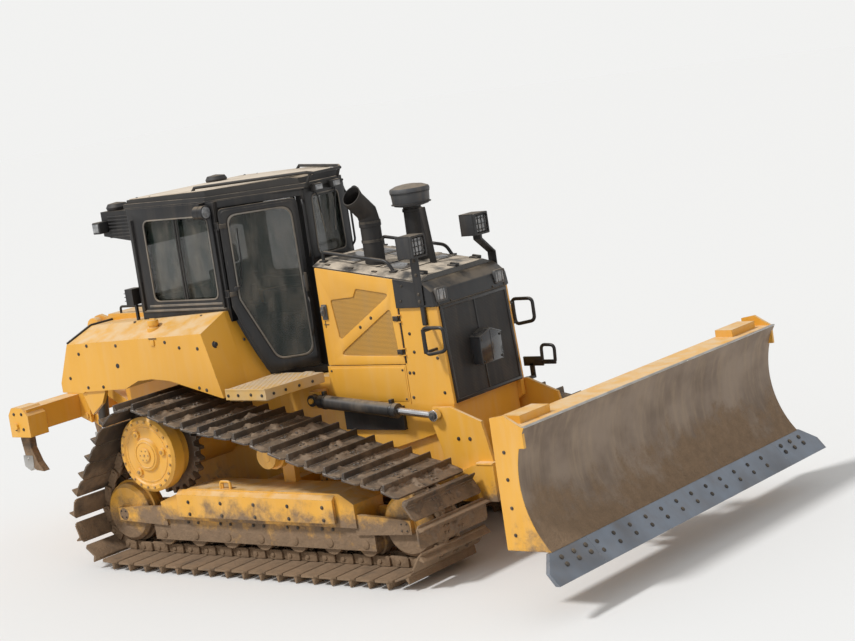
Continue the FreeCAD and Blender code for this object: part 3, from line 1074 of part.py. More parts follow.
# Blade: a curved skin on level ribs and upright plates; its edge is bolted on below
def bladeCurve(shift):
    spots = [at("bladeTopX", 0, "bladeTop"), at("bladeMidX", 0, "bladeMidZ"), at("bladeLowX", 0, "bladeLowZ")]
    arc = Part.Arc(*[spot.add(Vector(shift, 0, 0)) for spot in spots])
    return arc.toShape()


def drawnOut(edges, low, high):
    # a closed profile drawn out across the machine
    face = Part.Face(Part.Wire(Part.__sortEdges__(edges)))
    face.translate(Vector(0, low, 0))
    return face.extrude(Vector(0, high - low, 0))


def straight(*spots):
    return [Part.LineSegment(spots[i], spots[i + 1]).toShape() for i in range(len(spots) - 1)]


def bladeSkin():
    skin = -size("bladeSkin")
    top, low = at("bladeTopX", 0, "bladeTop"), at("bladeLowX", 0, "bladeLowZ")
    ends = straight(top, top.add(Vector(skin, 0, 0))) + straight(low, low.add(Vector(skin, 0, 0)))
    return drawnOut([bladeCurve(0), bladeCurve(skin)] + ends, -size("bladeHalf"), size("bladeHalf"))


ribReach = 1000


def ribBehind(low, high, right, left):
    # the room behind the skin between two heights
    inset = 4 - size("bladeSkin")
    back = size("bladeBack")
    top, foot = at("bladeTopX", 0, "bladeTop").add(Vector(inset, 0, 0)), at("bladeLowX", 0,
        "bladeLowZ").add(Vector(inset, 0, 0))
    rest = straight(top, Vector(back, 0, top.z), Vector(back, 0, foot.z), foot)
    slab = drawnOut([bladeCurve(inset)] + rest, right, left)
    return slab.common(Part.makeBox(2 * ribReach, left - right + 20, high - low,
                                    Vector(back - ribReach, right - 10, low)))


bladeWide, uprightThick, innerRight, innerLeft = size("bladeHalf"), 30, -170, 140
ribs = []
for low, high in (("bladeLowZ", "bladeLowZ + 260"), ("bladeMidZ - 30", "bladeMidZ + 130"),
                  ("bladeTop - 45", "bladeTop")):
    ribs.append(ribBehind(size(low), size(high), -bladeWide, bladeWide))
for place in (-bladeWide, -0.55 * bladeWide, innerRight, innerLeft, 0.55 * bladeWide - uprightThick,
              bladeWide - uprightThick):
    ribs.append(ribBehind(size("bladeLowZ"), size("bladeTop"), place, place + uprightThick))
bladeBody = shaped("blade_skin", bladeSkin().multiFuse(ribs))
bearing = block("tilt_bearing", ("tiltX + 100", "bladeBack + 40"), ("-160", "160"),
                ("swivelZ - 150", "swivelZ + 150"))
bearingBore = drum("tilt_bearing_bore", "X", ("0", "swivelZ"), "tiltX", "bladeBack - 20", "tiltPin + 0.08")
lugs = []
for edge in (-1, 1):
    for lift in (-1, 1):
        level = f"swivelZ + {lift} * (angleEarGap / 2 + 14)"
        lugs.append(block(f"angle_lug{edge}{lift}", ("angleLugX - lugReach", "bladeBack + 30"),
                          (f"{edge} * angleLugY - 55", f"{edge} * angleLugY + 55"),
                          (level + " - 14", level + " + 14")))
tiltLug = block("tilt_lug", ("tiltX - 45", "bladeBack + 30"), ("tiltLugY - 55", "tiltLugY + 90"),
                ("tiltZ - 60", "tiltZ + 60"))
tiltSlot = block("tilt_lug_slot", ("tiltX + 25 - 42", "tiltX + 25 + 42"), ("tiltLugY - 60", "tiltLugY + 62"),
                 ("tiltZ - 70", "tiltZ + 70"))
shelf = block("blade_shelf", ("bladeBack + 10", "bladeTopX - bladeSkin - 10"),
              ("-bladeHalf + 8", "bladeHalf - 8"), ("bladeTop - 50", "bladeTop - 30"))
topBoxes, endGussets = [], []
for edge in (-1, 1):
    near, far = sorted((f"{edge} * (bladeHalf - 520)", f"{edge} * (bladeHalf - 130)"), key=size)
    topBoxes.append(block(f"blade_top_box{edge}", ("bladeBack + 20", "bladeBack + 190"), (near, far),
                          ("bladeTop - 40", "bladeTop + 62")))
    near, far = sorted((f"{edge} * (bladeHalf - 26)", f"{edge} * bladeHalf"), key=size)
    gussetSide = [("bladeBack", "bladeTop - 160"), ("bladeBack", "bladeTop + 70"),
                  ("bladeBack + 130", "bladeTop + 92"), ("bladeTopX - bladeSkin", "bladeTop"),
                  ("bladeTopX - bladeSkin", "bladeTop - 160")]
    endGussets.append(prism(f"blade_gusset{edge}", "XZ", gussetSide, near, far))
bladeParts = [bladeBody, shelf] + topBoxes + endGussets + [ trimmed("tilt_bearing_bored", bearing,
    [bearingBore]), trimmed("tilt_lug_slotted", tiltLug, [tiltSlot])]
node("blade", joined("blade_parts", bladeParts + lugs))

# Cutting edge in line with the skin's foot, with end bits that flare past the skin
edgeOutline = [("bladeLowX", "bladeLowZ"), ("edgeTipX", "edgeTipZ"),
               ("edgeTipX - edgeThick - 10", "edgeTipZ"), ("bladeLowX - edgeThick", "bladeLowZ")]
edgePieces = [prism("edge_middle", "XZ", edgeOutline, "-bitIn", "bitIn")]
for edge, word in ((-1, "right"), (1, "left")):
    near, far = ("-bitHalf", "-bitIn - 2") if edge < 0 else ("bitIn + 2", "bitHalf")
    whole = prism("end_bit_" + word, "XZ", edgeOutline, near, far)
    flare = [(f"{edge} * (bladeHalf + 2)", "bladeLowZ + 20"), (f"{edge} * (bitHalf + 30)", "edgeTipZ + 70"),
             (f"{edge} * (bitHalf + 30)", "bladeLowZ + 20")]
    edgePieces.append(trimmed("end_bit_cut_" + word, whole,
                              [prism("end_flare_" + word, "YZ", flare, "bladeLowX - 100", "edgeTipX + 50")]))
node("cutting_edge", gathered("cutting_edge_set", edgePieces))

angleBarrel, angleRod = cylinder("angle", at("angleBaseX", "-angleBaseY", "swivelZ"),
                                 at("angleLugX", "-angleLugY", "swivelZ"), "Z",
                                 "angleBarrel", "angleRod", "angleBarrelLong", "280")
node("angle_barrel_right", angleBarrel)
node("angle_rod_right", angleRod)
node("angle_barrel_left", mirrored("angle_barrel_twin", angleBarrel))
node("angle_rod_left", mirrored("angle_rod_twin", angleRod))
tiltBarrel, tiltRod = cylinder("tilt", at("tiltX + 25", "tiltBaseY", "tiltZ"),
                               at("tiltX + 25", "tiltLugY", "tiltZ"), "X",
                               "tiltBarrel", "tiltRod", "600", "240")
node("tilt_barrel", tiltBarrel)
node("tilt_rod", tiltRod)

# Ripper: bracket on the case, level links, and a beam with three shanks
bracketSide = [
    ("caseRear", "ripperFootZ - 110"), ("ripperFootX - 60", "ripperFootZ - 110"),
    ("ripperFootX - 60", "ripperFootZ + ripperRise + 70"),
    ("ripperFootX - 100", "tankTop - 500"), ("ripCylTopX - 96", "ripCylTopZ - 70"),
    ("ripCylTopX - 110", "ripCylTopZ + 20"),
    ("ripCylTopX - 80", "ripCylTopZ + 86"), ("ripCylTopX - 10", "ripCylTopZ + 104"),
    ("ripCylTopX + 60", "ripCylTopZ + 80"), ("caseRear - 93", "tankTop - 180"),
    ("caseRear - 93", "caseTop + 120"), ("caseRear", "caseTop"),
]
upperZ = {"foot": "ripperFootZ + ripperRise", "beam": "ripperBeamZ + ripperRise"}
bracketPlate = prism("bracket_plate", "XZ", bracketSide, "-bracketOut", "-bracketIn")
bracketPins = [drum(f"bracket_pin{place}", "Y", ("ripperFootX", z), "-bracketOut - 12", "-linkIn + 6",
                    "linkPin")
               for place, z in enumerate(("ripperFootZ", upperZ["foot"]))]
bracketPins.append(drum("bracket_cylinder_pin", "Y", ("ripCylTopX", "ripCylTopZ"),
                        "-ripCylY - liftEyeThick / 2 - 14", "-bracketIn", "cylinderPin"))
bracketHalf = joined("bracket_half", [bracketPlate] + bracketPins)
bracketWeb = block("bracket_web", ("caseRear - 20", "caseRear"), ("-bracketIn - 1", "bracketIn + 1"),
                   ("ripperFootZ - 110", "caseTop - 20"))
node("ripper_bracket", joined("ripper_bracket_parts", [bracketHalf, mirrored("bracket_twin", bracketHalf),
                                                       bracketWeb]))


def ripperLink(name, footZ, beamZ, webEnds, extra):
    # two bored arms joined by a cross plate
    foot, head = at("ripperFootX", 0, footZ), at("ripperBeamX", 0, beamZ)
    middle = Vector(0, -size("(linkIn + linkOut) / 2"), 0)
    arm = [beam(name + "_arm", foot.add(middle), head.add(middle), "linkOut - linkIn", "2 * linkEye - 16")]
    bores = []
    for word, x, z in (("foot", "ripperFootX", footZ), ("head", "ripperBeamX", beamZ)):
        arm.append(drum(f"{name}_{word}_eye", "Y", (x, z), "-linkOut", "-linkIn", "linkEye"))
        bores.append(drum(f"{name}_{word}_bore", "Y", (x, z), "-linkOut - 10", "-linkIn + 10",
                          "linkPin + 0.08"))
    side = trimmed(name + "_side", joined(name + "_side_parts", arm + extra), bores)
    ends = [foot.add(head.sub(foot).multiply(share)) for share in webEnds]
    return joined(name + "_parts", [side, mirrored(name + "_side_twin", side),
                                    beam(name + "_web", ends[0], ends[1], "2 * linkIn + 20", "50")])


cylSpotX = "ripperFootX + ripCylShare * (ripperBeamX - ripperFootX)"
cylSpotZ = "ripperFootZ + ripCylShare * (ripperBeamZ - ripperFootZ)"
cylinderBoss = drum("link_cylinder_boss", "Y", (cylSpotX, cylSpotZ), "-ripCylY + liftEyeThick / 2 + 9",
                    "-linkIn - 20", "linkEye - 4")
node("ripper_lower_link", ripperLink("lower_link", "ripperFootZ", "ripperBeamZ", (0.3, 0.78), [cylinderBoss]))
node("ripper_upper_link", ripperLink("upper_link", upperZ["foot"], upperZ["beam"], (0.45, 0.8), []))

beamBox = block("ripper_box", ("beamRear + 30", "beamFront"), ("-beamHalf + 20", "beamHalf - 20"),
                ("beamLow + 10", "beamTop - 10"))
# a chamfered box at each end holds the outer shank
endSide = [("beamRear", "beamLow - 30"), ("beamRear", "beamTop - 60"), ("beamRear + 55", "beamTop + 12"),
           ("beamFront - 50", "beamTop + 12"),
           ("beamFront + 30", "beamTop - 70"), ("beamFront + 30", "beamLow - 30")]
endBox = prism("beam_end_box", "XZ", endSide, "-beamHalf", "-beamHalf + 230")
endPin = drum("beam_end_pin", "Y", ("shankRear + 65", "beamLow + 80"), "-beamHalf - 22", "-beamHalf + 5",
              "32")
uprightSide = [
    ("beamRear + 90", "beamLow + 70"), ("beamFront - 10", "beamLow + 5"),
    ("ripperBeamX + 60", "ripperBeamZ - 70"),
    ("ripperBeamX + 60", upperZ["beam"] + " + 65"), ("ripperBeamX - 55", upperZ["beam"] + " + 65"),
    ("beamRear + 90", "beamTop + 5"),
]
uprights = prism("beam_upright", "XZ", uprightSide, "-bracketOut", "-bracketIn")
beamPins = [drum(f"beam_pin{place}", "Y", ("ripperBeamX", z), "-bracketOut - 12", "-linkIn + 6", "linkPin")
            for place, z in enumerate(("ripperBeamZ", upperZ["beam"]))]
beamHalfParts = joined("beam_half_parts", [uprights, endBox, endPin] + beamPins)
shankFoot = [
    ("shankFront", "beamLow - 160"), ("shankFront + 60", "shankTip + 90"),
    ("shankFront + 130", "shankTip"), ("shankFront + 20", "shankTip + 10"),
    ("shankRear + 30", "shankTip + 110"), ("shankRear", "beamLow - 80"),
]
shanks, pockets = [], []
for place in (-1, 0, 1):
    middle = f"{place} * shankReach"
    shankHead, pocketHead = ("beamTop - 20", "beamTop - 19.7") if place else ("beamTop + 120", "beamTop + 30")
    shankSide = [("shankRear", shankHead), ("shankFront", shankHead)] + shankFoot
    shanks.append(prism(f"shank{place + 1}", "XZ", shankSide, middle + " - shankThick / 2",
                        middle + " + shankThick / 2"))
    pockets.append(block(f"shank_pocket{place + 1}", ("shankRear - 0.3", "shankFront + 0.3"),
                         (middle + " - shankThick / 2 - 0.3", middle + " + shankThick / 2 + 0.3"),
                         ("beamLow - 40", pocketHead)))
beamWhole = joined("ripper_beam_parts", [beamBox, beamHalfParts, mirrored("beam_half_twin", beamHalfParts)])
node("ripper_beam", trimmed("ripper_beam_pocketed", beamWhole, pockets))
node("ripper_shanks", gathered("ripper_shanks_set", shanks))
ripTop, ripEye = at("ripCylTopX", "-ripCylY", "ripCylTopZ"), at(cylSpotX, "-ripCylY", cylSpotZ)
ripBarrel, ripRod = cylinder("rip", ripTop, ripEye, "Y", "ripBarrel", "ripRod", "975", "90")
node("ripper_barrels", both("ripper_barrels_pair", ripBarrel))
node("ripper_rods", both("ripper_rods_pair", ripRod))

doc.recompute()
faulty = [item.Name for item in doc.Objects if "Invalid" in item.State or "Error" in item.State]
if faulty:
    raise SystemExit(f"not rebuilt: {faulty}")
for name, item in nodes.items():
    if item.Shape.isNull() or not item.Shape.isValid():
        raise SystemExit(f"bad shape: {name}")
os.makedirs("parts", exist_ok=True)
for name, item in nodes.items():
    item.Shape.exportStep(f"parts/{name}.step")
low = [min(getattr(item.Shape.BoundBox, side) for item in nodes.values()) for side in ("XMin", "YMin",
    "ZMin")]
high = [max(getattr(item.Shape.BoundBox, side) for item in nodes.values()) for side in ("XMax", "YMax",
    "ZMax")]
print(len(nodes), "nodes", [round(number, 1) for number in low + high])
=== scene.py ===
import math

import bmesh
import bpy
from mathutils import Matrix, Vector, noise


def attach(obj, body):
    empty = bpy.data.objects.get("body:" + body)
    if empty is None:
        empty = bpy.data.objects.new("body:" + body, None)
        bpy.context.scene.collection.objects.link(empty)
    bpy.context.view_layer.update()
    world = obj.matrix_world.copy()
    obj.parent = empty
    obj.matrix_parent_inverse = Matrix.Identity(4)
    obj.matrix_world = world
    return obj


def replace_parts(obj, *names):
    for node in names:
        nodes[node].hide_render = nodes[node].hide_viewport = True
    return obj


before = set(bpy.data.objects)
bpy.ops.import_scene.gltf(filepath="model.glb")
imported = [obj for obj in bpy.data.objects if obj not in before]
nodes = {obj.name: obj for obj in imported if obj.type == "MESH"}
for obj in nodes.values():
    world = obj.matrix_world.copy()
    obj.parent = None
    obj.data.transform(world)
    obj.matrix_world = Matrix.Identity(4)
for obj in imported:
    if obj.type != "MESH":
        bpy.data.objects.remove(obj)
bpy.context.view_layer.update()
scene = bpy.context.scene

# camera: where the photograph was taken from, with its roll
cameraLook = {
    "place": (12.443, -13.911, 4.466),
    "right": (0.7762, 0.6136, -0.1447),
    "up": (0.0252, 0.1992, 0.9797),
    "back": (0.6299, -0.7641, 0.1392),
    "lens": 87.71,
    "sensor": 36.0,
}


def placeCamera(look):
    data = bpy.data.cameras.new("photoCamera")
    data.lens = look["lens"]
    data.sensor_width = look["sensor"]
    data.clip_end = 400.0
    camera = bpy.data.objects.new("photoCamera", data)
    scene.collection.objects.link(camera)
    turned = Matrix((look["right"], look["up"], look["back"])).transposed().to_4x4()
    camera.matrix_world = Matrix.Translation(look["place"]) @ turned
    scene.camera = camera


placeCamera(cameraLook)
print("camera placed")

# studio: pale floor, plain sky light and one broad soft sun
studio = {
    "floorReach": 90.0,
    "floorColour": (0.78, 0.775, 0.76, 1.0),
    "backdropColour": (0.885, 0.885, 0.875, 1.0),
    "skyColour": (0.93, 0.94, 0.95, 1.0),
    "skyStrength": 0.62,
    "sunStrength": 2.3,
    "sunSpread": 9.0,
    "sunFrom": (-0.30, -0.62, 0.86),
}


def makeStudio(look):
    world = bpy.data.worlds.new("studioSky")
    world.use_nodes = True
    tree = world.node_tree
    sky = tree.nodes["Background"]
    sky.inputs["Color"].default_value = look["skyColour"]
    sky.inputs["Strength"].default_value = look["skyStrength"]
    backdrop = tree.nodes.new("ShaderNodeBackground")
    backdrop.inputs["Color"].default_value = look["backdropColour"]
    backdrop.inputs["Strength"].default_value = 1.0
    rays = tree.nodes.new("ShaderNodeLightPath")
    choice = tree.nodes.new("ShaderNodeMixShader")
    tree.links.new(rays.outputs["Is Camera Ray"], choice.inputs["Fac"])
    tree.links.new(sky.outputs["Background"], choice.inputs[1])
    tree.links.new(backdrop.outputs["Background"], choice.inputs[2])
    tree.links.new(choice.outputs["Shader"], tree.nodes["World Output"].inputs["Surface"])
    scene.world = world

    light = bpy.data.lights.new("softSun", "SUN")
    light.energy = look["sunStrength"]
    light.angle = math.radians(look["sunSpread"])
    sun = bpy.data.objects.new("softSun", light)
    sun.rotation_euler = Vector(look["sunFrom"]).to_track_quat("Z", "Y").to_euler()
    scene.collection.objects.link(sun)

    bm = bmesh.new()
    bmesh.ops.create_grid(bm, x_segments=8, y_segments=8, size=look["floorReach"])
    bmesh.ops.translate(bm, verts=bm.verts, vec=(0, 0, -0.002))
    mesh = bpy.data.meshes.new("studioFloor")
    bm.to_mesh(mesh)
    bm.free()
    floor = bpy.data.objects.new("studioFloor", mesh)
    scene.collection.objects.link(floor)
    material = bpy.data.materials.new("palePaper")
    material.use_nodes = True
    shader = material.node_tree.nodes["Principled BSDF"]
    shader.inputs["Base Color"].default_value = look["floorColour"]
    shader.inputs["Roughness"].default_value = 0.9
    mesh.materials.append(material)


makeStudio(studio)
scene.view_settings.view_transform = "Standard"
print("studio ready")


def addNode(tree, kind, inputs=None, **fields):
    node = tree.nodes.new(kind)
    for field, value in fields.items():
        setattr(node, field, value)
    for socket, value in (inputs or {}).items():
        if isinstance(value, bpy.types.NodeSocket):
            tree.links.new(value, node.inputs[socket])
        else:
            node.inputs[socket].default_value = value
    return node


def noiseOf(tree, coords, scale, detail=5.0, roughness=0.55):
    fields = {"Vector": coords, "Scale": scale, "Detail": detail, "Roughness": roughness}
    return addNode(tree, "ShaderNodeTexNoise", fields).outputs["Fac"]


def stretched(tree, coords, scale):
    return addNode(tree, "ShaderNodeMapping", {"Vector": coords, "Scale": scale}).outputs["Vector"]


def rampOf(tree, value, low, high):
    fields = {"Value": value, "From Min": low, "From Max": high}
    return addNode(tree, "ShaderNodeMapRange", fields, interpolation_type="SMOOTHSTEP").outputs["Result"]


def mathOf(tree, operation, first, second, clamped=True):
    fields = {0: first, 1: second}
    return addNode(tree, "ShaderNodeMath", fields, operation=operation, use_clamp=clamped).outputs[0]


def mixOf(tree, factor, first, second):
    tones = [tone if isinstance(tone, bpy.types.NodeSocket) else (*tone, 1.0) for tone in (first, second)]
    return addNode(tree, "ShaderNodeMix", {0: factor, 6: tones[0], 7: tones[1]}, data_type="RGBA").outputs[2]


def blendOf(tree, factor, first, second):
    return addNode(tree, "ShaderNodeMix", {0: factor, 2: first, 3: second}, data_type="FLOAT").outputs[0]


# a worn outdoor finish: paint or steel, then edge wear, dust where it settles (on the yellow paint also a painted
# pale sky reflection on upward faces), streaks and splashed earth
plainFinish = {
    "patchScale": 1.6, "metal": 0.0, "coat": 0.0, "wearColour": (0.3, 0.28, 0.25), "wear": 0.0, "wearMetal": 0.6,
    "edge": 0.006, "dustAndSheenColour": (0.42, 0.32, 0.21), "dustAndSheen": 0.5, "dustStart": 0.45, "sideDust": 0.12,
    "mudColour": (0.16, 0.105, 0.062), "mud": 0.0, "mudTop": 1.2, "mudLow": 0.1,
    "grain": 140.0, "grainDepth": 0.0006, "lump": 9.0, "lumpDepth": 0.0,
}


def wornFinish(name, base, second, roughness, changes):
    look = dict(plainFinish, **changes)
    material = bpy.data.materials.new(name)
    material.use_nodes = True
    tree = material.node_tree
    shader = tree.nodes["Principled BSDF"]
    spot = addNode(tree, "ShaderNodeTexCoord")
    coords = spot.outputs["Object"]
    heights = addNode(tree, "ShaderNodeSeparateXYZ", {"Vector": coords})
    facing = addNode(tree, "ShaderNodeSeparateXYZ", {"Vector": spot.outputs["Normal"]})

    colour = mixOf(tree, rampOf(tree, noiseOf(tree, coords, look["patchScale"], 3.0), 0.35, 0.68), base, second)
    rough = blendOf(tree, noiseOf(tree, coords, 7.0, 4.0), roughness - 0.09, roughness + 0.12)
    metal = look["metal"]

    bevelled = addNode(tree, "ShaderNodeBevel", {"Radius": look["edge"]}, samples=4).outputs["Normal"]
    if look["wear"] > 0:
        trueNormal = addNode(tree, "ShaderNodeNewGeometry").outputs["True Normal"]
        fields = {0: bevelled, 1: trueNormal}
        turn = addNode(tree, "ShaderNodeVectorMath", fields, operation="DOT_PRODUCT").outputs["Value"]
        chips = noiseOf(tree, coords, 26.0, 6.0, 0.7)
        chips = rampOf(tree, chips, 0.62 - 0.3 * look["wear"], 0.74 - 0.2 * look["wear"])
        worn = mathOf(tree, "MULTIPLY", rampOf(tree, turn, 0.985, 0.86), chips)
        scuffs = noiseOf(tree, stretched(tree, coords, (5.0, 5.0, 1.4)), 6.0, 8.0, 0.75)
        scuffs = mathOf(tree, "MULTIPLY", rampOf(tree, scuffs, 0.72, 0.82), 0.55 * look["wear"])
        worn = mathOf(tree, "MAXIMUM", worn, scuffs)
        colour = mixOf(tree, worn, colour, look["wearColour"])
        rough = blendOf(tree, worn, rough, 0.42)
        metal = blendOf(tree, worn, look["metal"], look["wearMetal"])

    # upward faces turn towards the pale dust colour: settled dust, and on the yellow paint partly a painted sky
    # reflection
    upward = rampOf(tree, facing.outputs["Z"], look["dustStart"], 0.97)
    speckle = rampOf(tree, noiseOf(tree, coords, 5.5, 7.0, 0.62), 0.30, 0.62)
    settledDustAndSheen = mathOf(tree, "MULTIPLY", mathOf(tree, "MULTIPLY", upward, speckle), look["dustAndSheen"])
    runs = rampOf(tree, noiseOf(tree, stretched(tree, coords, (7.0, 7.0, 0.8)), 1.5, 6.0, 0.6), 0.40, 0.78)
    dustAndSheenMask = mathOf(tree, "ADD", settledDustAndSheen, mathOf(tree, "MULTIPLY", runs, look["sideDust"]))
    colour = mixOf(tree, dustAndSheenMask, colour, look["dustAndSheenColour"])
    rough = blendOf(tree, dustAndSheenMask, rough, 0.92)
    if look["wear"] > 0:
        metal = blendOf(tree, dustAndSheenMask, metal, 0.0)
    depth = mathOf(tree, "MULTIPLY", noiseOf(tree, coords, look["grain"], 2.0), look["grainDepth"])
    if look["mud"] > 0:
        reach = rampOf(tree, heights.outputs["Z"], look["mudTop"], look["mudLow"])
        reach = mathOf(tree, "MULTIPLY", reach, look["mud"])
        level = mathOf(tree, "ADD", noiseOf(tree, coords, 3.2, 9.0, 0.68), reach, False)
        earth = rampOf(tree, level, 0.72, 0.98)
        dried = [1.9 * part for part in look["mudColour"]]
        colour = mixOf(tree, earth, colour, mixOf(tree, noiseOf(tree, coords, 14.0, 6.0), look["mudColour"], dried))
        rough = blendOf(tree, earth, rough, 0.95)
        if look["wear"] > 0:
            metal = blendOf(tree, earth, metal, 0.0)
        clods = mathOf(tree, "MULTIPLY", mathOf(tree, "MULTIPLY", noiseOf(tree, coords, 38.0, 5.0), earth), 0.012)
        depth = mathOf(tree, "ADD", depth, clods, False)
    if look["lumpDepth"] > 0:
        lumps = mathOf(tree, "MULTIPLY", noiseOf(tree, coords, look["lump"], 6.0, 0.6), look["lumpDepth"])
        depth = mathOf(tree, "ADD", depth, lumps, False)
    relief = addNode(tree, "ShaderNodeBump", {"Height": depth, "Distance": 1.0, "Strength": 0.8, "Normal": bevelled})
    tree.links.new(relief.outputs["Normal"], shader.inputs["Normal"])
    tree.links.new(colour, shader.inputs["Base Color"])
    tree.links.new(rough, shader.inputs["Roughness"])
    if look["wear"] > 0:
        tree.links.new(metal, shader.inputs["Metallic"])
    else:
        shader.inputs["Metallic"].default_value = metal
    shader.inputs["Coat Weight"].default_value = look["coat"]
    return material


def windowGlass(name, tint, cover):
    material = bpy.data.materials.new(name)
    material.use_nodes = True
    tree = material.node_tree
    shader = tree.nodes["Principled BSDF"]
    spot = addNode(tree, "ShaderNodeTexCoord").outputs["Object"]
    film = rampOf(tree, noiseOf(tree, stretched(tree, spot, (4.0, 4.0, 1.5)), 2.0, 8.0, 0.65), 0.35, 0.8)
    tree.links.new(mixOf(tree, film, tint, (0.16, 0.14, 0.11)), shader.inputs["Base Color"])
    tree.links.new(blendOf(tree, film, cover, cover + 0.16), shader.inputs["Alpha"])
    tree.links.new(blendOf(tree, film, 0.03, 0.22), shader.inputs["Roughness"])
    shader.inputs["IOR"].default_value = 1.52
    return material


def perforate(material, pitch, share, holeShade):
    # a perforated sheet: round holes on a square grid in the XZ or YZ plane of the machine, drawn as dark discs of
    # painted shade for the space behind the sheet
    tree = material.node_tree
    shader = tree.nodes["Principled BSDF"]
    spot = addNode(tree, "ShaderNodeTexCoord").outputs["Object"]
    parts = addNode(tree, "ShaderNodeSeparateXYZ", {"Vector": spot})
    across = mathOf(tree, "ADD", parts.outputs["X"], parts.outputs["Y"], False)
    gaps = []
    for value in (across, parts.outputs["Z"]):
        middle = mathOf(tree, "SUBTRACT", mathOf(tree, "FLOORED_MODULO", value, pitch, False), pitch / 2, False)
        gaps.append(mathOf(tree, "MULTIPLY", middle, middle, False))
    reach = mathOf(tree, "ADD", gaps[0], gaps[1], False)
    hole = rampOf(tree, reach, (share * pitch * 1.15) ** 2, (share * pitch * 0.85) ** 2)
    skin = shader.inputs["Base Color"].links[0].from_socket
    tree.links.new(mixOf(tree, hole, skin, holeShade), shader.inputs["Base Color"])
